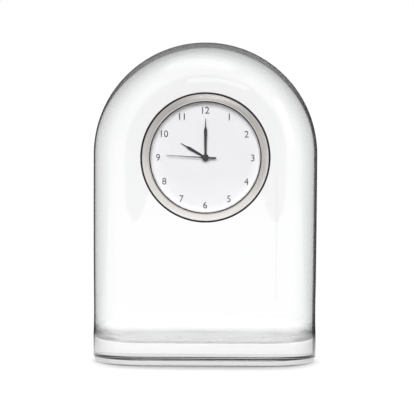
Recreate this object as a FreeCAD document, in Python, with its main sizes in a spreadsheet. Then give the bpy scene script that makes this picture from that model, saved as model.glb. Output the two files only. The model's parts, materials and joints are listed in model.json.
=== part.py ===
"""Arched glass shelf clock.

A hollow glass vessel with a thick base holds a quartz clock insert in a round hole in its
front wall. Millimetres, +Z up. The dial faces -Y, and the origin is the middle of the flat
face that the vessel stands on.

Pieces of the insert are drawn in the dial's own frame, as a viewer sees it: X to the right,
Y up and Z forwards, with its zero on the dial's axis at the middle of the vessel's depth.
"""
import FreeCAD, Part
import math
import os
import Sketcher

Vector = FreeCAD.Vector
TURN = 360.0

# Driving sizes: name, millimetres (degrees or a count where the note says so), meaning.
DRIVING = {
    "Glass vessel": [
        ("vessel_width", 116.0, "side to side; the top is half a circle of this width"),
        ("vessel_height", 165.0, "shelf to the crown of the round top"),
        ("vessel_depth", 57.0, "front to back, without the bezel"),
        ("side_flat", 1.0, "flat strip between the front and back roundings"),
        ("glass_wall", 4.5, "wall of the blown part"),
        ("base_thickness", 11.5, "solid glass under the hollow"),
        ("waist_height", 28.0, "height at which the sides are drawn in most"),
        ("waist_inset", 0.6, "how far the sides are drawn in there"),
        ("heel_height", 12.5, "top of the foot that stands a little proud"),
        ("heel_inset", 0.3, "how far the foot is drawn in"),
        ("heel_round", 3.0, "rounding of the bottom edge"),
        ("floor_round", 9.0, "rounding where the hollow's floor meets its wall"),
        ("dial_drop", 2.6, "dial's axis below the centre of the round top"),
        ("hole_radius", 30.2, "hole for the insert"),
        ("seat_margin", 0.5, "flat ground round the hole, beyond the bezel"),
        ("seat_depth", 0.5, "depth of that flat below the crown of the front"),
    ],
    "Bezel, crystal and cup": [
        ("bezel_radius", 32.5, "outside of the bezel"),
        ("bezel_height", 3.6, "crest of the bezel above its seat"),
        ("bezel_rim_height", 2.0, "outer rim of the bezel above its seat"),
        ("bezel_crest_radius", 29.4, "radius of the crest"),
        ("bezel_opening", 27.9, "radius of the opening over the dial"),
        ("bezel_lip_drop", 0.5, "inner edge below the crest"),
        ("bezel_bevel", 0.5, "bevel of the bezel's outer front edge"),
        ("flange_radius", 31.4, "flange of the cup under the bezel"),
        ("flange_thickness", 0.6, "flange of the cup"),
        ("cup_radius", 29.0, "outside of the cup"),
        ("cup_wall", 0.8, "side wall of the cup in front of the dial"),
        ("cup_floor", 1.2, "back wall of the cup"),
        ("cup_bevel", 1.5, "bevel of the cup's back edge"),
        ("ledge_width", 1.2, "step in the cup's wall that the dial lies on"),
        ("window_border", 1.4, "back wall of the cup that holds the movement in"),
        ("crystal_radius", 28.8, "glass over the dial"),
        ("crystal_thickness", 1.5, "glass over the dial"),
        ("gasket_height", 0.8, "ring between crystal and cup"),
        ("gasket_width", 0.6, "the same ring"),
        ("fit_gap", 0.05, "radial room round a piece that is laid into another"),
        ("band_thickness", 0.9, "rubber band round the cup, without its ribs"),
        ("band_length", 6.0, "the same band, front to back"),
        ("rib_height", 0.2, "ribs of the band"),
        ("rib_width", 2.4, "ribs of the band"),
        ("rib_count", 24, "ribs of the band, a count"),
    ],
    "Dial and hands": [
        ("dial_radius", 28.0, "printed dial"),
        ("dial_thickness", 0.4, "printed dial"),
        ("dial_hole_radius", 1.7, "hole for the centre bush"),
        ("hand_space", 3.7, "dial to crystal"),
        ("hand_thickness", 0.25, "every hand"),
        ("hub_radius", 1.65, "round middle of every hand"),
        ("cap_rise", 0.45, "second hand's cap ahead of its blade"),
        ("hour_hand_start", 26.3, "back of the hour hand, ahead of the vessel's middle"),
        ("hand_step", 0.85, "from one hand to the next"),
        ("hour_root", 0.5, "half width of the hour hand at its hub"),
        ("hour_broad", 0.8, "half width at its shoulder"),
        ("hour_shoulder", 9.6, "shoulder from the axis"),
        ("hour_neck", 10.9, "start of its needle from the axis"),
        ("hour_length", 14.2, "tip from the axis"),
        ("minute_root", 0.45, "half width of the minute hand at its hub"),
        ("minute_broad", 0.8, "half width at its shoulder"),
        ("minute_shoulder", 13.8, "shoulder from the axis"),
        ("minute_neck", 15.2, "start of its needle from the axis"),
        ("minute_length", 19.5, "tip from the axis"),
        ("needle_half", 0.3, "half width of a needle where it starts"),
        ("point_half", 0.12, "half width of a needle at its tip"),
        ("second_half", 0.24, "half width of the second hand at its hub"),
        ("second_length", 19.4, "tip from the axis"),
        ("tail_half", 0.45, "half width of the second hand's tail"),
        ("second_tail", 5.3, "end of the tail from the axis"),
        ("hour_bearing", 300.0, "hour hand clockwise from twelve, in degrees"),
        ("minute_bearing", 0.0, "minute hand, in degrees"),
        ("second_bearing", 273.0, "second hand, in degrees"),
    ],
    "Movement housing": [
        ("case_half_width", 15.0, "half the housing's width"),
        ("case_top", 13.0, "top of the housing above the dial's axis"),
        ("case_bottom", 23.0, "bottom of the housing below that axis"),
        ("case_depth", 11.0, "front of the housing to its back"),
        ("case_wall", 1.0, "walls and front plate"),
        ("case_round", 2.0, "upright corners of the housing"),
        ("cover_thickness", 1.3, "rear cover"),
        ("bush_radius", 1.6, "centre bush, outside"),
        ("bush_reach", 0.3, "centre bush ahead of the dial"),
        ("post_radius", 0.3, "fixed posts that wheels turn on"),
        ("shoulder_radius", 0.6, "foot of such a post"),
        ("rotor_post_radius", 0.22, "the rotor's post"),
        ("running_gap", 0.05, "radial room of a shaft in its hole"),
        ("end_gap", 0.1, "room at the end of a shaft or wheel"),
    ],
    "Wheel train": [
        ("wheel_thickness", 0.8, "every toothed wheel"),
        ("level_gap", 0.3, "from one wheel to the next behind it"),
        ("plate_gap", 0.2, "front plate to the hour wheel"),
        ("rotor_leaves", 6, "rotor pinion, a count"),
        ("fifth_teeth", 36, "fifth wheel, a count"),
        ("fifth_leaves", 6, "fifth wheel's pinion, a count"),
        ("seconds_teeth", 30, "seconds wheel, a count"),
        ("seconds_leaves", 6, "seconds wheel's pinion, a count"),
        ("third_teeth", 45, "third wheel, a count"),
        ("third_leaves", 6, "third wheel's pinion, a count"),
        ("centre_teeth", 48, "centre wheel, a count"),
        ("cannon_leaves", 8, "minute pipe's pinion, a count"),
        ("minute_work_teeth", 24, "minute work wheel, a count"),
        ("minute_work_leaves", 8, "its pinion, a count"),
        ("hour_teeth", 32, "hour wheel, a count"),
        ("setting_teeth", 16, "setting pinion, a count"),
        ("third_distance", 7.2, "third wheel's axis from the dial's axis"),
        ("fifth_distance", 4.8, "fifth wheel's axis from the dial's axis"),
        ("rotor_distance", 4.48, "rotor's axis from the fifth wheel's"),
        ("minute_work_distance", 4.8, "minute work wheel's axis from the dial's axis"),
        ("third_bearing", 200.0, "third wheel from the axis, anticlockwise from X, in degrees"),
        ("fifth_bearing", -30.0, "fifth wheel from the axis, in degrees"),
        ("rotor_bearing", -60.0, "rotor from the fifth wheel, in degrees"),
        ("minute_work_bearing", 60.0, "minute work wheel from the axis, in degrees"),
        ("setting_bearing", 20.0, "setting pinion from the minute work wheel, in degrees"),
        ("arbor_radius", 0.33, "seconds arbor"),
        ("minute_pipe_wall", 0.3, "minute pipe"),
        ("clutch_radius", 1.2, "hub of the minute pipe inside the centre wheel"),
        ("clutch_gap", 0.02, "radial room of the centre wheel on that hub"),
        ("hour_pipe_wall", 0.37, "hour pipe"),
        ("setting_shaft_radius", 0.8, "setting pinion's shaft"),
        ("knob_radius", 3.4, "setting knob"),
        ("knob_height", 2.4, "setting knob"),
        ("flute_radius", 0.6, "grip flutes of the knob"),
        ("flute_count", 10, "grip flutes of the knob, a count"),
    ],
    "Motor and circuit": [
        ("rotor_radius", 1.5, "rotor magnet"),
        ("rotor_sleeve_radius", 0.6, "sleeve that carries the magnet"),
        ("stator_hole_radius", 1.75, "stator round the magnet"),
        ("stator_ring_radius", 2.7, "outside of the stator there"),
        ("stator_thickness", 1.2, "stator plate"),
        ("link_width", 1.3, "arms of the stator"),
        ("coil_x", 11.4, "coil's axis right of the dial's axis"),
        ("coil_top", 3.3, "top of the bobbin above the dial's axis"),
        ("coil_length", 12.8, "bobbin, end to end"),
        ("core_half_width", 0.6, "half width of the coil's core"),
        ("core_thickness", 0.8, "coil's core"),
        ("tube_half", 0.95, "half width of the bobbin's tube"),
        ("bobbin_half", 2.1, "half width of the bobbin's end plates"),
        ("bobbin_plate", 0.5, "thickness of those plates"),
        ("winding_radius", 1.85, "copper winding"),
        ("coil_gap", 0.3, "bobbin to the stator's arms"),
        ("board_left", 6.4, "circuit board right of the dial's axis"),
        ("board_width", 7.0, "circuit board"),
        ("board_top", 12.4, "top of the board below the dial's axis"),
        ("board_height", 8.6, "circuit board"),
        ("board_thickness", 0.6, "circuit board"),
        ("board_rise", 3.4, "board ahead of the rear cover's inside"),
        ("board_post_radius", 1.2, "post that carries the board"),
        ("chip_radius", 1.9, "potted chip"),
        ("chip_height", 0.8, "potted chip"),
        ("chip_slope", 0.5, "sloping edge of the potted chip"),
        ("can_radius", 0.95, "quartz can"),
        ("can_length", 6.0, "quartz can"),
    ],
    "Battery": [
        ("battery_x", -1.5, "battery right of the dial's axis"),
        ("battery_drop", 15.2, "battery below the dial's axis"),
        ("battery_radius", 5.8, "button cell"),
        ("battery_height", 5.4, "button cell"),
        ("battery_cap_radius", 4.9, "raised negative side of the cell"),
        ("battery_cap_height", 0.3, "the same"),
        ("well_gap", 0.25, "room round the battery"),
        ("well_wall", 0.6, "wall round the battery"),
        ("well_lift", 0.8, "battery's back to the well's edge"),
        ("contact_thickness", 0.2, "both contact strips"),
        ("contact_half_width", 0.8, "both contact strips"),
        ("contact_pad_radius", 3.0, "round end under the battery"),
        ("contact_offset", 1.1, "each strip from the battery's middle"),
        ("hatch_radius", 6.2, "battery hatch"),
        ("hatch_gap", 0.1, "room round the hatch"),
        ("slot_half_length", 3.6, "coin slot in the hatch"),
        ("slot_half_width", 0.5, "coin slot in the hatch"),
        ("slot_depth", 0.5, "coin slot in the hatch"),
    ],
}

# Tooth form, as shares of the module or of the space between teeth.
ADDENDUM_SHARE = 0.9
DEDENDUM_SHARE = 1.2
BACKLASH_SHARE = 0.18
FLANK_SHARE = 0.36
WIDEST_ROOT_SHARE = 0.85

# Straight runs that stand for a quarter circle in the glass.
ARCH_STEPS = 8
HEEL_STEPS = 3
FLOOR_STEPS = 4

# Sizes that follow from the driving ones.
DERIVED = {
    "Glass vessel": [
        ("arch_radius", "vessel_width / 2"),
        ("arch_height", "vessel_height - arch_radius"),
        ("dial_height", "arch_height - dial_drop"),
        ("seat_radius", "bezel_radius + seat_margin"),
        ("half_depth", "vessel_depth / 2"),
        ("edge_round", "(vessel_depth - side_flat) / 2"),
        ("flat_half", "arch_radius - edge_round"),
    ],
    "Stations along the dial's axis, ahead of the vessel's middle": [
        ("seat_front", "half_depth - seat_depth"),
        ("flange_front", "seat_front + flange_thickness"),
        ("crystal_back", "flange_front + gasket_height"),
        ("crystal_front", "crystal_back + crystal_thickness"),
        ("crest_front", "seat_front + bezel_height"),
        ("lip_front", "crest_front - bezel_lip_drop"),
        ("rim_front", "seat_front + bezel_rim_height"),
        ("dial_front", "crystal_back - hand_space"),
        ("dial_back", "dial_front - dial_thickness"),
        ("case_back", "dial_back - case_depth"),
        ("cup_back", "case_back - cup_floor"),
        ("cup_bevel_front", "cup_back + cup_bevel"),
        ("bezel_bevel_back", "rim_front - bezel_bevel"),
        ("band_back", "seat_front - band_length"),
        ("plate_back", "dial_back - case_wall"),
        ("cover_front", "case_back + cover_thickness"),
        ("bush_front", "dial_front + bush_reach"),
        ("hour_front", "plate_back - plate_gap"),
        ("hour_back", "hour_front - wheel_thickness"),
        ("setting_front", "hour_back - level_gap"),
        ("setting_back", "setting_front - wheel_thickness"),
        ("centre_front", "setting_back - level_gap"),
        ("centre_back", "centre_front - wheel_thickness"),
        ("third_front", "centre_back - level_gap"),
        ("third_back", "third_front - wheel_thickness"),
        ("seconds_front", "third_back - level_gap"),
        ("seconds_back", "seconds_front - wheel_thickness"),
        ("fifth_front", "seconds_back - level_gap"),
        ("fifth_back", "fifth_front - wheel_thickness"),
        ("stator_front", "fifth_back - level_gap"),
        ("stator_back", "stator_front - stator_thickness"),
        ("hour_hand_back", "hour_hand_start"),
        ("hour_hand_front", "hour_hand_back + hand_thickness"),
        ("minute_hand_back", "hour_hand_back + hand_step"),
        ("minute_hand_front", "minute_hand_back + hand_thickness"),
        ("second_hand_back", "minute_hand_back + hand_step"),
        ("second_hand_front", "second_hand_back + hand_thickness"),
        ("cap_front", "second_hand_front + cap_rise"),
        ("arbor_back", "cover_front - cover_thickness / 2"),
    ],
    "Insert": [
        ("crystal_seat_radius", "crystal_radius + fit_gap"),
        ("flange_seat_radius", "flange_radius + fit_gap"),
        ("gasket_inner", "crystal_radius - gasket_width"),
        ("cup_inner", "cup_radius - cup_wall"),
        ("ledge_inner", "cup_inner - ledge_width"),
        ("cup_bevel_inner", "cup_radius - cup_bevel"),
        ("bezel_bevel_inner", "bezel_radius - bezel_bevel"),
        ("band_inner", "cup_radius + fit_gap"),
        ("band_radius", "cup_radius + band_thickness"),
        ("rib_half", "rib_width / 2"),
        ("rib_radius", "band_radius + rib_height"),
        ("window_half", "case_half_width - window_border"),
        ("window_top", "case_top - window_border"),
        ("window_bottom", "case_bottom - window_border"),
        ("inner_half", "case_half_width - case_wall"),
        ("inner_top", "case_top - case_wall"),
        ("inner_bottom", "case_bottom - case_wall"),
    ],
    "Wheel train": [
        ("centre_module", "2 * third_distance / (third_leaves + centre_teeth)"),
        ("third_module", "2 * third_distance / (seconds_leaves + third_teeth)"),
        ("seconds_module", "2 * fifth_distance / (fifth_leaves + seconds_teeth)"),
        ("rotor_module", "2 * rotor_distance / (rotor_leaves + fifth_teeth)"),
        ("setting_module", "2 * minute_work_distance / (cannon_leaves + minute_work_teeth)"),
        ("hour_module", "2 * minute_work_distance / (minute_work_leaves + hour_teeth)"),
        ("setting_distance", "(minute_work_teeth + setting_teeth) * setting_module / 2"),
        ("third_x", "third_distance * cos(third_bearing)"),
        ("third_y", "third_distance * sin(third_bearing)"),
        ("fifth_x", "fifth_distance * cos(fifth_bearing)"),
        ("fifth_y", "fifth_distance * sin(fifth_bearing)"),
        ("rotor_x", "fifth_x + rotor_distance * cos(rotor_bearing)"),
        ("rotor_y", "fifth_y + rotor_distance * sin(rotor_bearing)"),
        ("minute_work_x", "minute_work_distance * cos(minute_work_bearing)"),
        ("minute_work_y", "minute_work_distance * sin(minute_work_bearing)"),
        ("setting_x", "minute_work_x + setting_distance * cos(setting_bearing)"),
        ("setting_y", "minute_work_y + setting_distance * sin(setting_bearing)"),
        ("post_bore", "post_radius + running_gap"),
        ("rotor_bore", "rotor_post_radius + running_gap"),
        ("arbor_bore", "arbor_radius + running_gap"),
        ("minute_pipe_radius", "arbor_bore + minute_pipe_wall"),
        ("clutch_bore", "clutch_radius + clutch_gap"),
        ("hour_pipe_bore", "minute_pipe_radius + running_gap"),
        ("hour_pipe_radius", "hour_pipe_bore + hour_pipe_wall"),
        ("bush_bore", "hour_pipe_radius + running_gap"),
        ("setting_bore", "setting_shaft_radius + running_gap"),
        ("third_shoulder", "centre_front + end_gap"),
        ("third_post_end", "third_back - end_gap"),
        ("minute_work_post_end", "setting_back - end_gap"),
        ("fifth_shoulder", "fifth_back - end_gap"),
        ("fifth_post_end", "seconds_front - end_gap"),
        ("rotor_shoulder", "stator_back - end_gap"),
        ("rotor_post_end", "fifth_front - end_gap"),
        ("knob_front", "case_back - end_gap"),
        ("knob_back", "knob_front - knob_height"),
    ],
    "Motor and circuit": [
        ("magnet_front", "stator_front - end_gap"),
        ("magnet_back", "stator_back + end_gap"),
        ("coil_bottom", "coil_top - coil_length"),
        ("coil_depth", "stator_front + core_thickness / 2"),
        ("core_front", "stator_front + core_thickness"),
        ("arm_right", "coil_x - bobbin_half - end_gap"),
        ("arm_left", "arm_right - link_width"),
        ("link_right", "coil_x + core_half_width"),
        ("link_left", "coil_x - core_half_width"),
        ("top_link_low", "coil_top + coil_gap"),
        ("top_link_high", "top_link_low + link_width"),
        ("low_link_high", "coil_bottom - coil_gap"),
        ("low_link_low", "low_link_high - link_width"),
        ("low_arm_left", "rotor_x - link_width"),
        ("low_arm_right", "rotor_x + link_width"),
        ("winding_inner", "tube_half * sqrt(2)"),
        ("winding_top", "coil_length / 2 - bobbin_plate"),
        ("coil_middle", "(coil_top + coil_bottom) / 2"),
        ("board_back", "cover_front + board_rise"),
        ("board_front", "board_back + board_thickness"),
        ("board_right", "board_left + board_width"),
        ("board_bottom", "board_top + board_height"),
        ("board_post_x", "board_left + board_width / 2"),
        ("board_post_y", "-board_top - board_height / 2"),
        ("chip_x", "board_left + chip_radius + board_thickness"),
        ("can_x", "board_right - can_radius - board_thickness"),
        ("can_depth", "board_back - can_radius"),
        ("can_half", "can_length / 2"),
    ],
    "Battery": [
        ("battery_y", "-battery_drop"),
        ("battery_back", "cover_front + end_gap"),
        ("battery_front", "battery_back + battery_height"),
        ("battery_rim", "battery_front - battery_cap_height"),
        ("well_inner", "battery_radius + well_gap"),
        ("well_radius", "well_inner + well_wall"),
        ("well_back", "battery_back + well_lift"),
        ("well_right", "battery_x + well_radius"),
        ("contact_front", "battery_front + contact_thickness"),
        ("pad_post_radius", "contact_pad_radius - contact_thickness"),
        ("strip_left", "battery_x + battery_radius"),
        ("strip_right", "strip_left + contact_thickness"),
        ("foot_front", "board_front + contact_thickness"),
        ("foot_right", "board_left + contact_half_width"),
        ("leg_left", "foot_right"),
        ("leg_right", "leg_left + contact_thickness"),
        ("positive_low", "battery_y - contact_offset - contact_half_width"),
        ("positive_high", "battery_y - contact_offset + contact_half_width"),
        ("negative_low", "battery_y + contact_offset - contact_half_width"),
        ("negative_high", "battery_y + contact_offset + contact_half_width"),
        ("slot_low", "positive_low - well_gap"),
        ("slot_high", "negative_high + well_gap"),
        ("hatch_opening", "hatch_radius + hatch_gap"),
        ("hatch_front", "cover_front - end_gap"),
        ("coin_slot_front", "case_back + slot_depth"),
    ],
}

document = FreeCAD.newDocument("shelf_clock")
sheet = document.addObject("Spreadsheet::Sheet", "sizes")


def fill_sheet():
    """Writes the driving sizes as plain numbers, and below them those that follow."""
    row = 0
    for heading, cells in DRIVING.items():
        row += 1
        sheet.set("A%d" % row, heading)
        for name, value, note in cells:
            row += 1
            sheet.set("A%d" % row, name)
            sheet.set("B%d" % row, str(value))
            sheet.setAlias("B%d" % row, name)
            sheet.set("C%d" % row, note)
    for heading, cells in DERIVED.items():
        row += 1
        sheet.set("A%d" % row, heading)
        for name, rule in cells:
            row += 1
            sheet.set("A%d" % row, name)
            sheet.set("B%d" % row, "=" + rule)
            sheet.setAlias("B%d" % row, name)
    document.recompute()


fill_sheet()


def size(name):
    """The value of a named size. A minus sign before the name gives its negative."""
    if name == "0":
        return 0.0
    if name.startswith("-"):
        return -float(sheet.get(name[1:]))
    return float(sheet.get(name))


def cell(name):
    """The same size, as an expression that follows the sheet."""
    return "-sizes." + name[1:] if name.startswith("-") else "sizes." + name


def dial_frame(x=0.0, y=0.0, z=0.0, turn=0.0):
    """A place in the dial's frame, turned clockwise by some degrees as the viewer sees it."""
    stand = FreeCAD.Placement(
        Vector(0, 0, size("dial_height")), FreeCAD.Rotation(Vector(1, 0, 0), TURN / 4)
    )
    local = FreeCAD.Placement(Vector(x, y, z), FreeCAD.Rotation(Vector(0, 0, 1), -turn))
    return stand.multiply(local)


def insert_body(label, x="0", y="0", z="0", turn="0"):
    """An empty body in the dial's frame. What it is moved by is bound to the sheet."""
    body = document.addObject("PartDesign::Body", label)
    body.Label = label
    body.Placement = dial_frame(size(x), size(y), size(z), size(turn))
    body.setExpression(".Placement.Base.x", cell(x) if x != "0" else "0")
    body.setExpression(".Placement.Base.y", "-" + cell(z) if z != "0" else "0")
    height = "sizes.dial_height" + (" + " + cell(y) if y != "0" else "")
    body.setExpression(".Placement.Base.z", height)
    return body


def sketch_on(body, plane, offset="0"):
    """An empty sketch on one of the body's own planes, moved along its normal."""
    sketch = body.newObject("Sketcher::SketchObject", body.Label + "_sketch")
    face = [item for item in body.Origin.OriginFeatures if item.Role == plane][0]
    sketch.AttachmentSupport = (face, "")
    sketch.MapMode = "FlatFace"
    if offset != "0":
        sketch.AttachmentOffset = FreeCAD.Placement(
            Vector(0, 0, size(offset)), FreeCAD.Rotation()
        )
        sketch.setExpression("AttachmentOffset.Base.z", cell(offset))
    return sketch


def hold_point(sketch, geometry, point, x, y):
    """Fixes a point of the sketch at two named sizes from its origin."""
    for axis, name, line in (("X", x, -2), ("Y", y, -1)):
        if name == "0":
            on_axis = Sketcher.Constraint("PointOnObject", geometry, point, line)
            sketch.addConstraint(on_axis)
            continue
        distance = Sketcher.Constraint(
            "Distance" + axis, -1, 1, geometry, point, size(name)
        )
        number = sketch.addConstraint(distance)
        sketch.setExpression("Constraints[%d]" % number, cell(name))


def hold_radius(sketch, geometry, name):
    """Ties the radius of a circle or an arc to a named size."""
    number = sketch.addConstraint(Sketcher.Constraint("Radius", geometry, size(name)))
    sketch.setExpression("Constraints[%d]" % number, cell(name))


def arc_between(start, end, radius):
    """The shorter arc from start to end, anticlockwise."""
    chord = end - start
    middle = start + chord * 0.5
    reach = math.sqrt(max(radius**2 - (chord.Length / 2) ** 2, 0.0))
    inward = Vector(-chord.y, chord.x, 0).normalize()
    centre = middle + inward * reach
    first = math.atan2(start.y - centre.y, start.x - centre.x)
    last = math.atan2(end.y - centre.y, end.x - centre.x)
    return Part.ArcOfCircle(Part.Circle(centre, Vector(0, 0, 1), radius), first, last)


def draw_outline(sketch, corners):
    """A closed anticlockwise outline. A corner is (x, y), or (x, y, radius) before an arc."""
    places = [Vector(size(corner[0]), size(corner[1]), 0) for corner in corners]
    first = sketch.GeometryCount
    count = len(corners)
    for index, corner in enumerate(corners):
        start, end = places[index], places[(index + 1) % count]
        if len(corner) == 3:
            sketch.addGeometry(arc_between(start, end, size(corner[2])), False)
        else:
            sketch.addGeometry(Part.LineSegment(start, end), False)
    for index in range(count):
        following = first + (index + 1) % count
        joined = Sketcher.Constraint("Coincident", first + index, 2, following, 1)
        sketch.addConstraint(joined)
    for index, corner in enumerate(corners):
        hold_point(sketch, first + index, 1, corner[0], corner[1])
        if len(corner) == 3:
            hold_radius(sketch, first + index, corner[2])


def draw_circle(sketch, x, y, radius):
    """A circle with its centre and radius tied to named sizes."""
    middle = Vector(size(x), size(y), 0)
    number = sketch.addGeometry(Part.Circle(middle, Vector(0, 0, 1), size(radius)), False)
    hold_point(sketch, number, 3, x, y)
    hold_radius(sketch, number, radius)


def draw_rectangle(sketch, left, low, right, high):
    """An upright rectangle between four named sizes."""
    draw_outline(sketch, [(left, low), (right, low), (right, high), (left, high)])


def draw(sketch, outlines):
    """Draws circles, given as (x, y, radius), and outlines, given as lists of corners."""
    for outline in outlines:
        if isinstance(outline, tuple):
            draw_circle(sketch, *outline)
        else:
            draw_outline(sketch, outline)


def turned(body, corners, plane="XZ_Plane"):
    """Spins a half profile of (radius, station) about the axis of the sketch."""
    sketch = sketch_on(body, plane)
    draw_outline(sketch, corners)
    spin = body.newObject("PartDesign::Revolution", body.Label + "_spin")
    spin.Profile = sketch
    spin.ReferenceAxis = (sketch, ["V_Axis"])
    spin.Angle = TURN
    return spin


def padded(body, outlines, back, front, plane="XY_Plane"):
    """Raises outlines from one station to another, towards the viewer."""
    sketch = sketch_on(body, plane, back)
    draw(sketch, outlines)
    pad = body.newObject("PartDesign::Pad", body.Label + "_pad")
    pad.Profile = sketch
    pad.Length = size(front) - size(back)
    pad.setExpression("Length", cell(front) + " - " + cell(back))
    return pad


def pocketed(body, outlines, back, front):
    """Cuts outlines away between two stations."""
    sketch = sketch_on(body, "XY_Plane", front)
    draw(sketch, outlines)
    pocket = body.newObject("PartDesign::Pocket", body.Label + "_pocket")
    pocket.Profile = sketch
    pocket.Length = size(front) - size(back)
    pocket.setExpression("Length", cell(front) + " - " + cell(back))
    return pocket


def rounded(body, feature, chosen, radius):
    """Fillets the edges of a feature that a test picks."""
    document.recompute()
    edges = [
        "Edge%d" % (number + 1)
        for number, edge in enumerate(feature.Shape.Edges)
        if chosen(edge)
    ]
    fillet = body.newObject("PartDesign::Fillet", body.Label + "_fillet")
    fillet.Base = (feature, edges)
    fillet.Radius = size(radius)
    fillet.setExpression("Radius", cell(radius))
    return fillet


def repeated(body, feature, count):
    """Repeats a feature round the body's Z axis."""
    pattern = body.newObject("PartDesign::PolarPattern", body.Label + "_pattern")
    pattern.Originals = [feature]
    axis = [item for item in body.Origin.OriginFeatures if item.Role == "Z_Axis"][0]
    pattern.Axis = (axis, [""])
    pattern.Angle = TURN
    pattern.Occurrences = int(size(count))
    pattern.setExpression("Occurrences", cell(count))
    body.Tip = pattern
    return pattern


def runs_forward(edge):
    """Picks straight edges along the dial's axis."""
    if len(edge.Vertexes) != 2:
        return False
    run = edge.Vertexes[1].Point - edge.Vertexes[0].Point
    return abs(abs(run.z) - run.Length) < size("fit_gap") * run.Length


def set_piece(label, shape, place):
    """A piece whose solid is worked out in code."""
    piece = document.addObject("Part::Feature", label)
    piece.Label = label
    piece.Shape = shape
    piece.Placement = place
    return piece


def side_profile(inset, height):
    """The right half of the vessel's outline in plan, from front to back, drawn in by inset."""
    edge = size("edge_round") - inset
    strip = size("half_depth") - size("edge_round")
    quarter = [math.pi / 2 * step / ARCH_STEPS for step in range(ARCH_STEPS + 1)]
    front = [
        Vector(
            size("flat_half") + edge * math.sin(angle), -strip - edge * math.cos(angle), height
        )
        for angle in quarter
    ]
    back = [Vector(point.x, -point.y, height) for point in reversed(front)]
    return front + back


def slab_section(inset, height):
    """The whole outline in plan: a long slab with round ends."""
    right = side_profile(inset, height)
    left = [Vector(-point.x, -point.y, height) for point in right]
    return Part.makePolygon(right + left + right[:1])


def arch_dome(inset):
    """The round top: half of the same outline, swung from one side over to the other."""
    height = size("arch_height")
    right = side_profile(inset, height)
    axis = [Vector(0, right[-1].y, height), Vector(0, right[0].y, height)]
    profile = Part.Face(Part.makePolygon(right + axis + right[:1]))
    return profile.revolve(Vector(0, 0, height), Vector(0, -1, 0), TURN / 2)


def vessel_form(inset, floor, corner, steps):
    """The solid inside the glass surface, or the hollow, with its bottom edge rounded."""
    foot = inset + size("heel_inset")
    stations = [
        (inset, size("arch_height")),
        (inset + size("waist_inset"), size("waist_height")),
    ]
    if size("heel_height") > floor + corner:
        stations.append((foot, size("heel_height")))
    for step in range(steps + 1):
        angle = math.pi / 2 * step / steps
        stations.append((foot + corner * (1 - math.cos(angle)), floor + corner * (1 - math.sin(angle))))
    sections = [slab_section(*station) for station in stations]
    body = Part.makeLoft(sections, True, True)
    return body.fuse(arch_dome(inset)).removeSplitter()


def drilled(radius, back, front):
    """A cutter on the dial's axis between two stations ahead of the vessel's middle."""
    height = Vector(0, -back, size("dial_height"))
    return Part.makeCylinder(radius, front - back, height, Vector(0, -1, 0))


def make_glass_vessel():
    """Blown glass, open only at the hole in its front wall, whose rim is ground flat."""
    outside = vessel_form(0.0, 0.0, size("heel_round"), HEEL_STEPS)
    wall, floor = size("glass_wall"), size("base_thickness")
    hollow = vessel_form(wall, floor, size("floor_round"), FLOOR_STEPS)
    ahead = size("half_depth") + size("glass_wall")
    hole = drilled(size("hole_radius"), 0.0, ahead)
    seat = drilled(size("seat_radius"), size("seat_front"), ahead)
    glass = outside.cut(hollow).cut(hole).cut(seat)
    set_piece("glass_vessel", glass, FreeCAD.Placement())


def make_bezel():
    """Satin metal ring, sloping down from a crest near the crystal to its outer rim."""
    turned(
        insert_body("bezel"),
        [
            ("bezel_opening", "crystal_front"),
            ("crystal_seat_radius", "crystal_front"),
            ("crystal_seat_radius", "flange_front"),
            ("flange_seat_radius", "flange_front"),
            ("flange_seat_radius", "seat_front"),
            ("bezel_radius", "seat_front"),
            ("bezel_radius", "bezel_bevel_back"),
            ("bezel_bevel_inner", "rim_front"),
            ("bezel_crest_radius", "crest_front"),
            ("bezel_opening", "lip_front"),
        ],
    )


def make_crystal():
    """Flat glass over the dial."""
    body = insert_body("crystal")
    padded(body, [("0", "0", "crystal_radius")], "crystal_back", "crystal_front")


def make_crystal_gasket():
    """Black ring that the crystal is pressed against."""
    body = insert_body("crystal_gasket")
    rings = [("0", "0", "crystal_radius"), ("0", "0", "gasket_inner")]
    padded(body, rings, "flange_front", "crystal_back")


def make_dial():
    """White printed disc with a hole for the centre bush."""
    body = insert_body("dial")
    rings = [("0", "0", "dial_radius"), ("0", "0", "dial_hole_radius")]
    padded(body, rings, "dial_back", "dial_front")


def make_insert_cup():
    """Deep black cup with a flange in front, a step for the dial and a window behind."""
    body = insert_body("insert_cup")
    turned(
        body,
        [
            ("0", "cup_back"),
            ("cup_bevel_inner", "cup_back"),
            ("cup_radius", "cup_bevel_front"),
            ("cup_radius", "seat_front"),
            ("flange_radius", "seat_front"),
            ("flange_radius", "flange_front"),
            ("cup_inner", "flange_front"),
            ("cup_inner", "dial_back"),
            ("ledge_inner", "dial_back"),
            ("ledge_inner", "case_back"),
            ("0", "case_back"),
        ],
    )
    window = [
        ("-window_half", "-window_bottom"),
        ("window_half", "-window_bottom"),
        ("window_half", "window_top"),
        ("-window_half", "window_top"),
    ]
    pocketed(body, [window], "cup_back", "case_back")


def make_grip_band():
    """Ribbed rubber band that grips the hole in the glass."""
    body = insert_body("grip_band")
    rings = [("0", "0", "band_radius"), ("0", "0", "band_inner")]
    padded(body, rings, "band_back", "seat_front")
    rib = [
        ("-rib_half", "band_inner"),
        ("rib_half", "band_inner"),
        ("rib_half", "rib_radius"),
        ("-rib_half", "rib_radius"),
    ]
    document.recompute()
    repeated(body, padded(body, [rib], "band_back", "seat_front"), "rib_count")


def hand_outline(root, broad, shoulder, neck, length):
    """A hand from the axis to its tip: a bar that widens, then a fine needle."""
    return [
        ("-" + root, "0"),
        (root, "0"),
        (broad, shoulder),
        ("needle_half", neck),
        ("point_half", length),
        ("-point_half", length),
        ("-needle_half", neck),
        ("-" + broad, shoulder),
    ]


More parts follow.
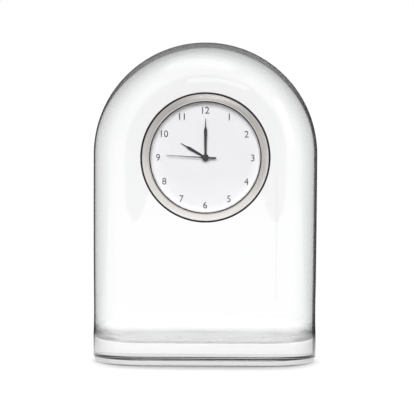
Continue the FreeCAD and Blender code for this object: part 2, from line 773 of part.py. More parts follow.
def make_hand(label, blade, back, front, bearing, bore, cap_front):
    """A flat hand with a round hub, pressed on its pipe or arbor."""
    body = insert_body(label, turn=bearing)
    padded(body, [blade], back, front)
    padded(body, [("0", "0", "hub_radius")], back, cap_front)
    pocketed(body, [("0", "0", bore)], back, front)


def make_hands():
    """Black hands; the second hand's hub is the cap that covers the other two."""
    hour = hand_outline("hour_root", "hour_broad", "hour_shoulder", "hour_neck", "hour_length")
    make_hand(
        "hour_hand",
        hour,
        "hour_hand_back",
        "hour_hand_front",
        "hour_bearing",
        "hour_pipe_radius",
        "hour_hand_front",
    )
    minute = hand_outline(
        "minute_root", "minute_broad", "minute_shoulder", "minute_neck", "minute_length"
    )
    make_hand(
        "minute_hand",
        minute,
        "minute_hand_back",
        "minute_hand_front",
        "minute_bearing",
        "minute_pipe_radius",
        "minute_hand_front",
    )
    second = [
        ("-tail_half", "-second_tail"),
        ("tail_half", "-second_tail"),
        ("tail_half", "0"),
        ("second_half", "hub_radius"),
        ("point_half", "second_length"),
        ("-point_half", "second_length"),
        ("-second_half", "hub_radius"),
        ("-tail_half", "0"),
    ]
    make_hand(
        "second_hand",
        second,
        "second_hand_back",
        "second_hand_front",
        "second_bearing",
        "arbor_radius",
        "cap_front",
    )


def make_movement_case():
    """Front half of the movement's housing: plate, walls, bush, posts and battery well."""
    body = insert_body("movement_case")
    outside = [
        ("-case_half_width", "-case_bottom"),
        ("case_half_width", "-case_bottom"),
        ("case_half_width", "case_top"),
        ("-case_half_width", "case_top"),
    ]
    inside = [
        ("-inner_half", "-inner_bottom"),
        ("inner_half", "-inner_bottom"),
        ("inner_half", "inner_top"),
        ("-inner_half", "inner_top"),
    ]
    block = padded(body, [outside], "cover_front", "dial_back")
    rounded(body, block, runs_forward, "case_round")
    pocketed(body, [inside], "cover_front", "plate_back")
    padded(body, [("0", "0", "bush_radius")], "plate_back", "bush_front")
    padded(body, [("third_x", "third_y", "shoulder_radius")], "third_shoulder", "plate_back")
    padded(body, [("third_x", "third_y", "post_radius")], "third_post_end", "plate_back")
    minute_work = ("minute_work_x", "minute_work_y", "post_radius")
    padded(body, [minute_work], "minute_work_post_end", "plate_back")
    padded(body, [("battery_x", "battery_y", "pad_post_radius")], "contact_front", "plate_back")
    well = [("battery_x", "battery_y", "well_radius"), ("battery_x", "battery_y", "well_inner")]
    padded(body, [*well], "well_back", "plate_back")
    padded(body, [("board_post_x", "board_post_y", "board_post_radius")], "board_front", "plate_back")
    slot = [
        ("battery_x", "slot_low"),
        ("board_left", "slot_low"),
        ("board_left", "slot_high"),
        ("battery_x", "slot_high"),
    ]
    pocketed(body, [slot], "well_back", "contact_front")
    pocketed(body, [("0", "0", "bush_bore")], "plate_back", "bush_front")


def make_movement_cover():
    """Rear cover with the battery opening, the knob's hole and two wheel posts."""
    body = insert_body("movement_cover")
    outside = [
        ("-case_half_width", "-case_bottom"),
        ("case_half_width", "-case_bottom"),
        ("case_half_width", "case_top"),
        ("-case_half_width", "case_top"),
    ]
    plate = padded(body, [outside], "case_back", "cover_front")
    rounded(body, plate, runs_forward, "case_round")
    padded(body, [("fifth_x", "fifth_y", "shoulder_radius")], "cover_front", "fifth_shoulder")
    padded(body, [("fifth_x", "fifth_y", "post_radius")], "cover_front", "fifth_post_end")
    padded(body, [("rotor_x", "rotor_y", "shoulder_radius")], "cover_front", "rotor_shoulder")
    padded(body, [("rotor_x", "rotor_y", "rotor_post_radius")], "cover_front", "rotor_post_end")
    pocketed(body, [("battery_x", "battery_y", "hatch_opening")], "case_back", "cover_front")
    pocketed(body, [("setting_x", "setting_y", "setting_bore")], "case_back", "cover_front")
    pocketed(body, [("0", "0", "arbor_bore")], "arbor_back", "cover_front")


def gear(teeth, module, phase, back, front):
    """A toothed disc with straight flanks. phase is the bearing of one tooth, in radians."""
    pitch_radius = teeth * module / 2
    tip_radius = pitch_radius + ADDENDUM_SHARE * module
    root_radius = pitch_radius - DEDENDUM_SHARE * module
    space = math.pi / teeth
    half_width = pitch_radius * space / 2 * (1 - BACKLASH_SHARE)
    tip_half = (half_width - ADDENDUM_SHARE * FLANK_SHARE * module) / tip_radius
    root_half = (half_width + DEDENDUM_SHARE * FLANK_SHARE * module) / root_radius
    root_half = min(root_half, WIDEST_ROOT_SHARE * space)
    points = []
    for tooth in range(teeth):
        middle = phase + 2 * math.pi * tooth / teeth
        for radius, side in (
            (root_radius, -root_half),
            (tip_radius, -tip_half),
            (tip_radius, tip_half),
            (root_radius, root_half),
        ):
            angle = middle + side
            points.append(Vector(radius * math.cos(angle), radius * math.sin(angle), back))
    face = Part.Face(Part.makePolygon(points + points[:1]))
    return face.extrude(Vector(0, 0, front - back))


def round_bar(radius, back, front):
    """A plain cylinder along the dial's axis."""
    return Part.makeCylinder(radius, front - back, Vector(0, 0, back))


def meshed(teeth, phase, bearing, other_teeth):
    """The phase at which another gear, in that bearing from this one, meshes with it."""
    return bearing + math.pi - (teeth * (phase - bearing) + math.pi) / other_teeth


def count(name):
    return int(size(name))


def bearing_between(start, end):
    """The direction from one wheel's axis to another's, in radians."""
    x = size(end + "_x") if end else 0.0
    y = size(end + "_y") if end else 0.0
    x -= size(start + "_x") if start else 0.0
    y -= size(start + "_y") if start else 0.0
    return math.atan2(y, x)


def set_wheel(label, shape, place):
    """A finished wheel on its axis, which is named by the wheel that turns on it."""
    x, y = (size(place + "_x"), size(place + "_y")) if place else (0.0, 0.0)
    set_piece(label, shape, dial_frame(x, y))


def make_seconds_train():
    """Rotor to centre wheel: each wheel is driven by the leaves of the one before it."""
    seconds_levels = size("seconds_back"), size("seconds_front")
    third_levels = size("third_back"), size("third_front")
    centre_levels = size("centre_back"), size("centre_front")
    fifth_levels = size("fifth_back"), size("fifth_front")

    seconds = gear(count("seconds_teeth"), size("seconds_module"), 0.0, *seconds_levels)
    leaves = gear(
        count("seconds_leaves"), size("third_module"), 0.0, seconds_levels[1], third_levels[1]
    )
    bore = round_bar(size("arbor_radius"), seconds_levels[0], third_levels[1])
    set_wheel("seconds_wheel", seconds.fuse(leaves).cut(bore), "")
    arbor = round_bar(size("arbor_radius"), size("arbor_back"), size("second_hand_front"))
    set_wheel("seconds_arbor", arbor, "")

    phase = meshed(
        count("seconds_teeth"), 0.0, bearing_between("", "fifth"), count("fifth_leaves")
    )
    leaves = gear(
        count("fifth_leaves"), size("seconds_module"), phase, fifth_levels[1], seconds_levels[1]
    )
    wheel = gear(count("fifth_teeth"), size("rotor_module"), 0.0, *fifth_levels)
    bore = round_bar(size("post_bore"), fifth_levels[0], seconds_levels[1])
    set_wheel("fifth_wheel", wheel.fuse(leaves).cut(bore), "fifth")

    phase = meshed(
        count("fifth_teeth"), 0.0, bearing_between("fifth", "rotor"), count("rotor_leaves")
    )
    pinion = gear(count("rotor_leaves"), size("rotor_module"), phase, *fifth_levels)
    sleeve = round_bar(size("rotor_sleeve_radius"), size("stator_back"), fifth_levels[0])
    bore = round_bar(size("rotor_bore"), size("stator_back"), fifth_levels[1])
    set_wheel("rotor_pinion", pinion.fuse(sleeve).cut(bore), "rotor")
    magnet = round_bar(size("rotor_radius"), size("magnet_back"), size("magnet_front"))
    hole = round_bar(size("rotor_sleeve_radius"), size("magnet_back"), size("magnet_front"))
    set_wheel("rotor_magnet", magnet.cut(hole), "rotor")

    phase = meshed(
        count("seconds_leaves"), 0.0, bearing_between("", "third"), count("third_teeth")
    )
    wheel = gear(count("third_teeth"), size("third_module"), phase, *third_levels)
    leaves = gear(
        count("third_leaves"), size("centre_module"), 0.0, third_levels[1], centre_levels[1]
    )
    bore = round_bar(size("post_bore"), third_levels[0], centre_levels[1])
    set_wheel("third_wheel", wheel.fuse(leaves).cut(bore), "third")

    phase = meshed(
        count("third_leaves"), 0.0, bearing_between("third", ""), count("centre_teeth")
    )
    wheel = gear(count("centre_teeth"), size("centre_module"), phase, *centre_levels)
    bore = round_bar(size("clutch_bore"), *centre_levels)
    set_wheel("centre_wheel", wheel.cut(bore), "")


def make_setting_train():
    """Minute pipe, minute work, hour wheel and setting pinion."""
    module = size("setting_module")
    setting_levels = size("setting_back"), size("setting_front")
    hour_levels = size("hour_back"), size("hour_front")

    leaves = gear(count("cannon_leaves"), module, 0.0, *setting_levels)
    hub = round_bar(size("clutch_radius"), size("centre_back"), setting_levels[0])
    pipe = round_bar(
        size("minute_pipe_radius"), setting_levels[1], size("minute_hand_front")
    )
    bore = round_bar(size("arbor_bore"), size("centre_back"), size("minute_hand_front"))
    set_wheel("minute_pipe", leaves.fuse(hub).fuse(pipe).cut(bore), "")

    phase = meshed(
        count("cannon_leaves"),
        0.0,
        bearing_between("", "minute_work"),
        count("minute_work_teeth"),
    )
    wheel = gear(count("minute_work_teeth"), module, phase, *setting_levels)
    leaves = gear(
        count("minute_work_leaves"), size("hour_module"), 0.0, setting_levels[1], hour_levels[1]
    )
    bore = round_bar(size("post_bore"), setting_levels[0], hour_levels[1])
    set_wheel("minute_work_wheel", wheel.fuse(leaves).cut(bore), "minute_work")

    setting_phase = meshed(
        count("minute_work_teeth"),
        phase,
        bearing_between("minute_work", "setting"),
        count("setting_teeth"),
    )
    pinion = gear(count("setting_teeth"), module, setting_phase, *setting_levels)
    shaft = round_bar(size("setting_shaft_radius"), size("knob_front"), setting_levels[0])
    set_wheel("setting_pinion", pinion.fuse(shaft), "setting")

    phase = meshed(
        count("minute_work_leaves"),
        0.0,
        bearing_between("minute_work", ""),
        count("hour_teeth"),
    )
    wheel = gear(count("hour_teeth"), size("hour_module"), phase, *hour_levels)
    pipe = round_bar(size("hour_pipe_radius"), hour_levels[1], size("hour_hand_front"))
    bore = round_bar(size("hour_pipe_bore"), hour_levels[0], size("hour_hand_front"))
    set_wheel("hour_wheel", wheel.fuse(pipe).cut(bore), "")


def make_setting_knob():
    """Fluted knob on the back, which sets the minute and hour hands."""
    body = insert_body("setting_knob", x="setting_x", y="setting_y")
    padded(body, [("0", "0", "knob_radius")], "knob_back", "knob_front")
    document.recompute()
    flute = pocketed(body, [("knob_radius", "0", "flute_radius")], "knob_back", "knob_front")
    repeated(body, flute, "flute_count")


def make_stator():
    """Soft iron plate: a ring round the rotor and two arms to the coil's core."""
    body = insert_body("stator")
    upper = [
        ("arm_left", "rotor_y"),
        ("arm_right", "rotor_y"),
        ("arm_right", "top_link_low"),
        ("link_right", "top_link_low"),
        ("link_right", "top_link_high"),
        ("arm_left", "top_link_high"),
    ]
    lower = [
        ("low_arm_left", "low_link_low"),
        ("link_right", "low_link_low"),
        ("link_right", "low_link_high"),
        ("low_arm_right", "low_link_high"),
        ("low_arm_right", "rotor_y"),
        ("low_arm_left", "rotor_y"),
    ]
    padded(body, [("rotor_x", "rotor_y", "stator_ring_radius")], "stator_back", "stator_front")
    padded(body, [upper], "stator_back", "stator_front")
    padded(body, [lower], "stator_back", "stator_front")
    hole = ("rotor_x", "rotor_y", "stator_hole_radius")
    pocketed(body, [hole], "stator_back", "stator_front")


def make_coil():
    """Core bar on the stator's arms, with a bobbin and its copper winding."""
    core = insert_body("coil_core")
    bar = [
        ("link_left", "low_link_low"),
        ("link_right", "low_link_low"),
        ("link_right", "top_link_high"),
        ("link_left", "top_link_high"),
    ]
    padded(core, [bar], "stator_front", "core_front")

    middle = dial_frame(size("coil_x"), size("coil_middle"), size("coil_depth"))
    half_length = size("coil_length") / 2
    plate, wide, tube = size("bobbin_plate"), size("bobbin_half"), size("tube_half")

    def centred_box(half_x, low, high, half_z):
        corner = Vector(-half_x, low, -half_z)
        return Part.makeBox(2 * half_x, high - low, 2 * half_z, corner)

    bobbin = centred_box(tube, -half_length, half_length, tube)
    bobbin = bobbin.fuse(centred_box(wide, -half_length, plate - half_length, wide))
    bobbin = bobbin.fuse(centred_box(wide, half_length - plate, half_length, wide))
    hole = centred_box(
        size("core_half_width"), -half_length, half_length, size("core_thickness") / 2
    )
    set_piece("coil_bobbin", bobbin.cut(hole), middle)

    winding = insert_body("coil_winding", "coil_x", "coil_middle", "coil_depth")
    turned(
        winding,
        [
            ("winding_inner", "-winding_top"),
            ("winding_radius", "-winding_top"),
            ("winding_radius", "winding_top"),
            ("winding_inner", "winding_top"),
        ],
        "XY_Plane",
    )


def make_circuit():
    """Board on its post, with the potted chip and the quartz can behind it."""
    board = insert_body("circuit_board")
    outline = [
        ("board_left", "-board_bottom"),
        ("board_right", "-board_bottom"),
        ("board_right", "-board_top"),
        ("board_left", "-board_top"),
    ]
    padded(board, [outline], "board_back", "board_front")

    radius, height, slope = size("chip_radius"), size("chip_height"), size("chip_slope")
    chip = Part.makeCone(radius - slope, radius, height)
    place = dial_frame(size("chip_x"), size("board_post_y"), size("board_back") - height)
    set_piece("board_chip", chip, place)

    can = insert_body("quartz_can", "can_x", "board_post_y", "can_depth")
    outline = [
        ("0", "-can_half"),
        ("can_radius", "-can_half"),
        ("can_radius", "can_half"),
        ("0", "can_half"),
    ]
    turned(can, outline, "XY_Plane")


def make_contacts():
    """Spring strips from the two sides of the battery to the circuit board."""
    negative = insert_body("negative_contact")
    pad = ("battery_x", "battery_y", "contact_pad_radius")
    arm = [
        ("battery_x", "negative_low"),
        ("leg_right", "negative_low"),
        ("leg_right", "negative_high"),
        ("battery_x", "negative_high"),
    ]
    leg = [
        ("leg_left", "negative_low"),
        ("leg_right", "negative_low"),
        ("leg_right", "negative_high"),
        ("leg_left", "negative_high"),
    ]
    padded(negative, [pad], "battery_front", "contact_front")
    padded(negative, [arm], "battery_front", "contact_front")
    padded(negative, [leg], "board_front", "contact_front")

    positive = insert_body("positive_contact")
    blade = [
        ("strip_left", "positive_low"),
        ("strip_right", "positive_low"),
        ("strip_right", "positive_high"),
        ("strip_left", "positive_high"),
    ]
    foot = [
        ("strip_left", "positive_low"),
        ("foot_right", "positive_low"),
        ("foot_right", "positive_high"),
        ("strip_left", "positive_high"),
    ]
    padded(positive, [blade], "well_back", "foot_front")
    padded(positive, [foot], "board_front", "foot_front")


def make_battery():
    """Button cell, with its narrower negative side towards the dial."""
    cell_body = insert_body("battery_cell", "battery_x", "battery_y")
    turned(
        cell_body,
        [
            ("0", "battery_back"),
            ("battery_radius", "battery_back"),
            ("battery_radius", "battery_rim"),
            ("battery_cap_radius", "battery_rim"),
            ("battery_cap_radius", "battery_front"),
            ("0", "battery_front"),
        ],
    )
    hatch = insert_body("battery_hatch", "battery_x", "battery_y")
    padded(hatch, [("0", "0", "hatch_radius")], "case_back", "hatch_front")
    slot = [
        ("-slot_half_length", "-slot_half_width"),
        ("slot_half_length", "-slot_half_width"),
        ("slot_half_length", "slot_half_width"),
        ("-slot_half_length", "slot_half_width"),
    ]
    pocketed(hatch, [slot], "case_back", "coin_slot_front")


def check_objects():
    """Stops on any object that did not build."""
    document.recompute()
    for item in document.Objects:
        if "Invalid" in item.State or "Error" in item.State:
            raise RuntimeError(item.Label + " did not build: " + str(item.State))


def write_pieces():
    """Writes one STEP file for each piece, named by its label."""
    pieces = [
        item
        for item in document.Objects
        if item.TypeId == "PartDesign::Body" or item.TypeId == "Part::Feature"
    ]
    os.makedirs("parts", exist_ok=True)
    for piece in pieces:
        shape = piece.Shape
        if shape.isNull() or not shape.isValid() or not shape.Solids:
            raise RuntimeError(piece.Label + " has no valid solid")
    for piece in pieces:
        piece.Shape.exportStep(os.path.join("parts", piece.Label + ".step"))
        print(piece.Label, len(piece.Shape.Solids), round(piece.Shape.Volume, 2))


make_glass_vessel()
make_bezel()
make_crystal()
make_crystal_gasket()
make_dial()
make_insert_cup()
make_grip_band()
make_hands()
make_movement_case()
make_movement_cover()
make_seconds_train()
make_setting_train()
make_setting_knob()
make_stator()
make_coil()
make_circuit()
make_contacts()
make_battery()
check_objects()
write_pieces()
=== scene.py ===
"""Glass shelf clock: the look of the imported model, its light and its camera."""
import json
import math

import bmesh
import bpy
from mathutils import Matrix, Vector


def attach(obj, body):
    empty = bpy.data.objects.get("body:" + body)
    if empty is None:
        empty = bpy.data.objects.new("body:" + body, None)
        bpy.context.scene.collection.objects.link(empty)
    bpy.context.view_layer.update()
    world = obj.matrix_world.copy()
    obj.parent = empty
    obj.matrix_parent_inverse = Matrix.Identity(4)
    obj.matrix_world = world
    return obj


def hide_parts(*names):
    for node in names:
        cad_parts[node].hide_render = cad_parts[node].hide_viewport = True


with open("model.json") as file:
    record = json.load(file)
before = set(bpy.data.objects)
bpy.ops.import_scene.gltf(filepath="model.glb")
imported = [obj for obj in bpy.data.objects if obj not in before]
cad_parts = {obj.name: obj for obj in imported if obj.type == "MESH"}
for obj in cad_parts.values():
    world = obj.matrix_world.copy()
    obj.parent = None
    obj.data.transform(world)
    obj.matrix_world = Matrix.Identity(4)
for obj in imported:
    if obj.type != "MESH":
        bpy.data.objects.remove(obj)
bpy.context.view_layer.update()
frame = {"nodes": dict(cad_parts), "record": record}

MM_PER_METRE = 1000


def mm(value):
    """Millimetres as Blender's metres."""
    return value / MM_PER_METRE


# The vessel, in millimetres. Its floor lies 1.1 mm lower than the solid's and has a softer corner.
HALF_WIDTH = 58.0
HALF_DEPTH = 28.5
FLAT_HALF = 30.0
ARCH_HEIGHT = 107.0
WALL = 4.5
FLOOR = 10.4
FOOT_ROUND = 3.1
FLOOR_ROUND = 11.5
# Height, and how far the sides are drawn in there, from under the arch downwards.
SIDES = [(84, 0.08), (60, 0.22), (42, 0.38), (32, 0.55), (27, 0.6)]
FOOT = [(21, 0.6), (17, 0.5), (14, 0.36), (11.5, 0.3), (7, 0.3)]

# The insert, in millimetres: its axis above the shelf, the rest ahead of the vessel's middle.
DIAL_AXIS = 104.4
SEAT = 28.0
DIAL_FACE = 25.7
CASE_BACK = 14.3
CUP_BACK = 13.1
# Middles of the hatch's and the knob's back faces: across, ahead, above the dial's axis.
HATCH_BACK = (-1.5, 14.3, -15.2)
KNOB_BACK = (8.038, 11.8, 6.209)

# Round pieces: how many sides they are turned with.
FINE_SIDES = 192
DIAL_SIDES = 160
RING_SIDES = 128
SMALL_SIDES = 48
SCREW_SIDES = 32
ARCH_STEPS = 190

# Millimetres: points closer than this are one, and slack when points are picked by place.
SAME_POINT = 0.001
SLACK = 0.01

# Degrees between two faces up to which the edge is shaded round.
ROUND_ANGLE = 35
CUT_PIECE_ANGLE = 30


# Making pieces


def start_clean():
    """Leaves every object unselected, in object mode."""
    if bpy.context.mode != "OBJECT":
        bpy.ops.object.mode_set(mode="OBJECT")
    bpy.ops.object.select_all(action="DESELECT")


def pick(piece):
    """Makes one piece the active one and the only one selected, in object mode."""
    start_clean()
    piece.select_set(True)
    bpy.context.view_layer.objects.active = piece


def edit(piece):
    """Opens one piece for editing, with all of it selected."""
    pick(piece)
    bpy.ops.object.mode_set(mode="EDIT")
    bpy.ops.mesh.select_mode(type="VERT")
    bpy.ops.mesh.select_all(action="SELECT")


def select_points(piece, wanted):
    """In edit mode, selects the points whose place passes the test."""
    mesh = bmesh.from_edit_mesh(piece.data)
    for element in list(mesh.verts) + list(mesh.edges) + list(mesh.faces):
        element.select_set(False)
    for point in mesh.verts:
        if wanted(point.co):
            point.select_set(True)
    mesh.select_flush_mode()
    bmesh.update_edit_mesh(piece.data)


def merge_doubles():
    """In edit mode, makes one of points that lie together, all over the piece."""
    bpy.ops.mesh.select_all(action="SELECT")
    bpy.ops.mesh.remove_doubles(threshold=mm(SAME_POINT))


def apply_place(piece):
    """Puts a piece's place into its mesh, with the object at the origin."""
    pick(piece)
    bpy.ops.object.transform_apply(location=True, rotation=True, scale=True)


def finish_mesh():
    """Closes doubles, points the faces outwards and returns to object mode."""
    merge_doubles()
    bpy.ops.mesh.normals_make_consistent(inside=False)
    bpy.ops.object.mode_set(mode="OBJECT")


def apply_modifier(piece, kind, **settings):
    """Adds one modifier, sets it and applies it."""
    pick(piece)
    modifier = piece.modifiers.new(kind.title(), kind)
    for name, value in settings.items():
        setattr(modifier, name, value)
    bpy.ops.object.modifier_apply(modifier=modifier.name)


def cut(piece, tool):
    """Cuts one piece with another, which is then gone."""
    apply_modifier(piece, "BOOLEAN", operation="DIFFERENCE", solver="EXACT", object=tool)
    bpy.data.objects.remove(tool)


def smooth(piece, degrees=ROUND_ANGLE):
    """Smooth shading that keeps flats flat."""
    pick(piece)
    bpy.ops.object.shade_smooth_by_angle(angle=math.radians(degrees))
    apply_modifier(piece, "WEIGHTED_NORMAL", keep_sharp=True)


def turn_profile(name, profile, sides, centre=(0.0, DIAL_AXIS)):
    """Turns (radius, millimetres ahead) points about a line that runs front to back."""
    radius, ahead = profile[0]
    x, z = mm(centre[0]), mm(centre[1])
    bpy.ops.mesh.primitive_circle_add(
        vertices=sides,
        radius=mm(radius),
        location=(x, -mm(ahead), z),
        rotation=(math.pi / 2, 0, 0),
    )
    piece = bpy.context.object
    piece.name = name
    apply_place(piece)
    edit(piece)
    for next_radius, next_ahead in profile[1:]:
        step = (0, -mm(next_ahead - ahead), 0)
        bpy.ops.mesh.extrude_region_move(TRANSFORM_OT_translate={"value": step})
        ratio = next_radius / radius
        bpy.ops.transform.resize(value=(ratio, 1, ratio), center_override=(x, 0, z))
        radius, ahead = next_radius, next_ahead
    merge_doubles()
    bpy.ops.mesh.select_all(action="DESELECT")
    bpy.ops.mesh.select_non_manifold()
    if any(point.select for point in bmesh.from_edit_mesh(piece.data).verts):
        bpy.ops.mesh.edge_face_add()
    finish_mesh()
    smooth(piece)
    return piece


def join(name, pieces):
    """Makes one piece of several."""
    start_clean()
    for piece in pieces:
        piece.select_set(True)
    bpy.context.view_layer.objects.active = pieces[0]
    bpy.ops.object.join()
    pieces[0].name = name
    return pieces[0]


def dress(piece, body, slot):
    """Names what a new piece rides on and what it is made of."""
    piece.data.materials.clear()
    piece.data.materials.append(FINISHES[slot])
    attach(piece, body)


# The glass vessel


def half_section(skin, depth, half_round):
    """Turns a new circle into half of the vessel's outline, seen from above."""
    edit(skin)
    select_points(skin, lambda point: point.x < mm(FLAT_HALF - SLACK))
    bpy.ops.mesh.delete(type="VERT")
    bpy.ops.mesh.select_all(action="SELECT")
    bpy.ops.transform.resize(
        value=(half_round / depth, 1, 1), center_override=(mm(FLAT_HALF), 0, 0)
    )
    select_points(skin, lambda point: point.x < mm(FLAT_HALF + SLACK))
    bpy.ops.mesh.extrude_vertices_move(TRANSFORM_OT_translate={"value": (-mm(FLAT_HALF), 0, 0)})


def extrude_down(fall):
    """Draws the selected rim downwards by so many millimetres."""
    bpy.ops.mesh.extrude_region_move(TRANSFORM_OT_translate={"value": (0, 0, -mm(fall))})


def glass_skin(name, inset, sides, bottom, corner, corner_steps, late=1.0):
    """A closed form like the vessel's, drawn in all round by inset, with a round bottom edge.

    Bottom and corner together stay below the last height of the sides. Above one, late makes
    the edge leave the walls slowly and turn more near the bottom.
    """
    depth, half_width = HALF_DEPTH - inset, HALF_WIDTH - inset
    bpy.ops.mesh.primitive_circle_add(
        vertices=FINE_SIDES, radius=mm(depth), location=(mm(FLAT_HALF), 0, mm(ARCH_HEIGHT))
    )
    skin = bpy.context.object
    skin.name = name
    apply_place(skin)
    half_section(skin, depth, half_width - FLAT_HALF)
    bpy.ops.mesh.select_all(action="SELECT")
    bpy.ops.mesh.spin(
        steps=ARCH_STEPS, angle=math.pi, center=(0, 0, mm(ARCH_HEIGHT)), axis=(0, 1, 0)
    )
    merge_doubles()
    select_points(skin, lambda point: point.z < mm(ARCH_HEIGHT + SLACK))
    height, drawn = ARCH_HEIGHT, 0.0
    for next_height, next_drawn in sides:
        extrude_down(height - next_height)
        across = (half_width - next_drawn) / (half_width - drawn)
        along = (depth - next_drawn) / (depth - drawn)
        bpy.ops.transform.resize(value=(across, along, 1), center_override=(0, 0, 0))
        height, drawn = next_height, next_drawn
    extrude_down(height - bottom - corner)
    bpy.ops.mesh.edge_face_add()
    bpy.ops.mesh.select_all(action="SELECT")
    bpy.ops.mesh.normals_make_consistent(inside=False)
    select_points(skin, lambda point: point.z < mm(bottom + corner + SLACK))
    for step in range(corner_steps):
        start = math.pi / 2 * step / corner_steps
        end = math.pi / 2 * (step + 1) / corner_steps
        inward = corner * ((1 - math.cos(end)) ** late - (1 - math.cos(start)) ** late)
        down = corner * (math.sin(end) - math.sin(start))
        bpy.ops.mesh.inset(thickness=mm(inward), depth=mm(down), use_even_offset=True)
    finish_mesh()
    return skin


# The tool that grinds the hole and its flat: the inner ring of points is only there to be
# turned, and goes when the tool is filled in.
CORE = 20.0
HOLE = [
    (30.2, 18.0),
    (30.2, 27.85),
    (30.35, SEAT),
    (32.95, SEAT),
    (33.0, 28.05),
    (33.0, 28.3),
    (33.4, 28.8),
    (33.4, 34.0),
    (CORE, 34.0),
    (CORE, 18.0),
    (30.2, 18.0),
]


def make_hole_cutter():
    """A stepped plug on the dial's axis, longer than the wall is thick."""
    hole = turn_profile("hole_cutter", HOLE, DIAL_SIDES)
    edit(hole)
    core = mm(CORE + 1)
    select_points(hole, lambda point: math.hypot(point.x, point.z - mm(DIAL_AXIS)) < core)
    bpy.ops.mesh.delete(type="VERT")
    bpy.ops.mesh.select_all(action="DESELECT")
    bpy.ops.mesh.select_non_manifold()
    bpy.ops.mesh.fill_holes(sides=0)
    finish_mesh()
    return hole


def make_vessel():
    """Blown glass: an outer and an inner skin, with the insert's hole ground through the front."""
    outer = glass_skin("glass_vessel_body", 0.0, SIDES + FOOT, 0.0, FOOT_ROUND, corner_steps=8)
    outer.data.materials.append(VESSEL_OUTSIDE)
    inner = glass_skin(
        "hollow_skin", WALL, SIDES, FLOOR, FLOOR_ROUND, corner_steps=14, late=1.5
    )
    inner.data.materials.append(FINISHES["clear_glass"])
    edit(inner)
    bpy.ops.mesh.flip_normals()
    vessel = join("glass_vessel_body", [outer, inner])
    cut(vessel, make_hole_cutter())
    smooth(vessel, CUT_PIECE_ANGLE)
    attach(vessel, "vessel")
    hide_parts("glass_vessel")


# The insert


def add_ring(name, profile, slot, sides):
    """Turns one ring of the insert about the dial's axis and dresses it."""
    ring = turn_profile(name, profile, sides)
    dress(ring, "clock_insert", slot)
    return ring


BEZEL = [
    (31.65, SEAT),
    (31.65, 30.35),
    (31.55, 30.6),
    (31.3, 30.78),
    (30.2, 31.1),
    (28.6, 31.5),
    (28.25, 31.5),
    (28.02, 31.38),
    (27.95, 31.1),
    (27.95, 30.92),
    (28.85, 30.92),
    (28.85, 28.6),
    (31.4, 28.6),
    (31.4, SEAT),
    (31.65, SEAT),
]
BEZEL_SEAL = [
    (31.67, SEAT),
    (32.5, SEAT),
    (32.5, 29.95),
    (32.4, 30.15),
    (32.1, 30.25),
    (31.67, 30.2),
    (31.67, SEAT),
]
# Painted shade: a dark ring that stands for the shade at the inner edge of the bezel's lip.
LIP_SHADE_RING = [(27.93, 30.92), (27.93, 31.2), (27.74, 31.0), (27.74, 30.92), (27.93, 30.92)]
DIAL_RIM = [(28.0, DIAL_FACE), (28.0, 28.4), (27.7, 28.4), (26.9, DIAL_FACE), (28.0, DIAL_FACE)]
CRYSTAL_SEAL = [(28.0, 28.9), (28.0, 29.38), (27.45, 29.38), (27.45, 28.9), (28.0, 28.9)]


def make_bezel():
    """Nearly flat satin ring with small bevels, the dark seal outside it, and inside it a dark
    ring of painted shade at the lip.
    """
    bezel = add_ring("bezel_ring", BEZEL, "satin_bezel", FINE_SIDES)
    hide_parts("bezel")
    add_ring("bezel_seal", BEZEL_SEAL, "black_rubber", FINE_SIDES)
    add_ring("crystal_lip_shade_ring", LIP_SHADE_RING, "black_rubber", FINE_SIDES)


def make_dial_frame():
    """The pale ring that frames the dial and the dark seat under the crystal."""
    add_ring("dial_rim", DIAL_RIM, "dial_white", DIAL_SIDES)
    add_ring("crystal_seal", CRYSTAL_SEAL, "black_rubber", DIAL_SIDES)


# How much bolder than the plain letter a number is drawn, and the ones with a closed loop.
STROKE_GAIN = 0.03
LOOPED_GAIN = {4: 0.005, 6: 0.02, 8: 0.02, 9: 0.02, 10: 0.02}
LETTER_SIZE = 4.9
NUMBER_HEIGHT = 3.4
NUMBER_SLIM = 0.96
NUMBER_RADIUS = 23.75
INK_THICKNESS = 0.01
INK_LIFT = 0.012


def make_numerals():
    """Printed numbers one to twelve, upright round the dial."""
    printed = []
    for hour in range(1, 13):
        bpy.ops.object.text_add()
        number = bpy.context.object
        number.data.body = str(hour)
        number.data.size = mm(LETTER_SIZE)
        number.data.offset = mm(LOOPED_GAIN.get(hour, STROKE_GAIN))
        number.data.extrude = mm(INK_THICKNESS)
        number.data.resolution_u = 6
        pick(number)
        bpy.ops.object.convert(target="MESH")
        number = bpy.context.object
        across = [point.co.x for point in number.data.vertices]
        up = [point.co.y for point in number.data.vertices]
        grow = mm(NUMBER_HEIGHT) / (max(up) - min(up))
        slim = grow * NUMBER_SLIM
        bearing = math.radians(30 * hour)
        x = mm(NUMBER_RADIUS) * math.sin(bearing)
        z = mm(DIAL_AXIS) + mm(NUMBER_RADIUS) * math.cos(bearing)
        number.scale = (slim, grow, 1)
        number.rotation_euler = (math.pi / 2, 0, 0)
        number.location = (
            x - slim * (min(across) + max(across)) / 2,
            -mm(DIAL_FACE + INK_LIFT),
            z - grow * (min(up) + max(up)) / 2,
        )
        apply_place(number)
        printed.append(number)
    dress(join("dial_numerals", printed), "clock_insert", "hand_paint")


HAND_CAP = [(1.7, 28.25), (1.7, 28.62), (1.5, 28.85), (1.0, 29.0), (0.45, 29.06), (0.0, 29.08)]
# Name, body, bore, back and front.
COLLETS = (
    ("minute_hand_collet", "minute_group", 0.7, 26.7, 27.15),
    ("hour_hand_collet", "hour_group", 1.13, 25.95, 26.3),
)


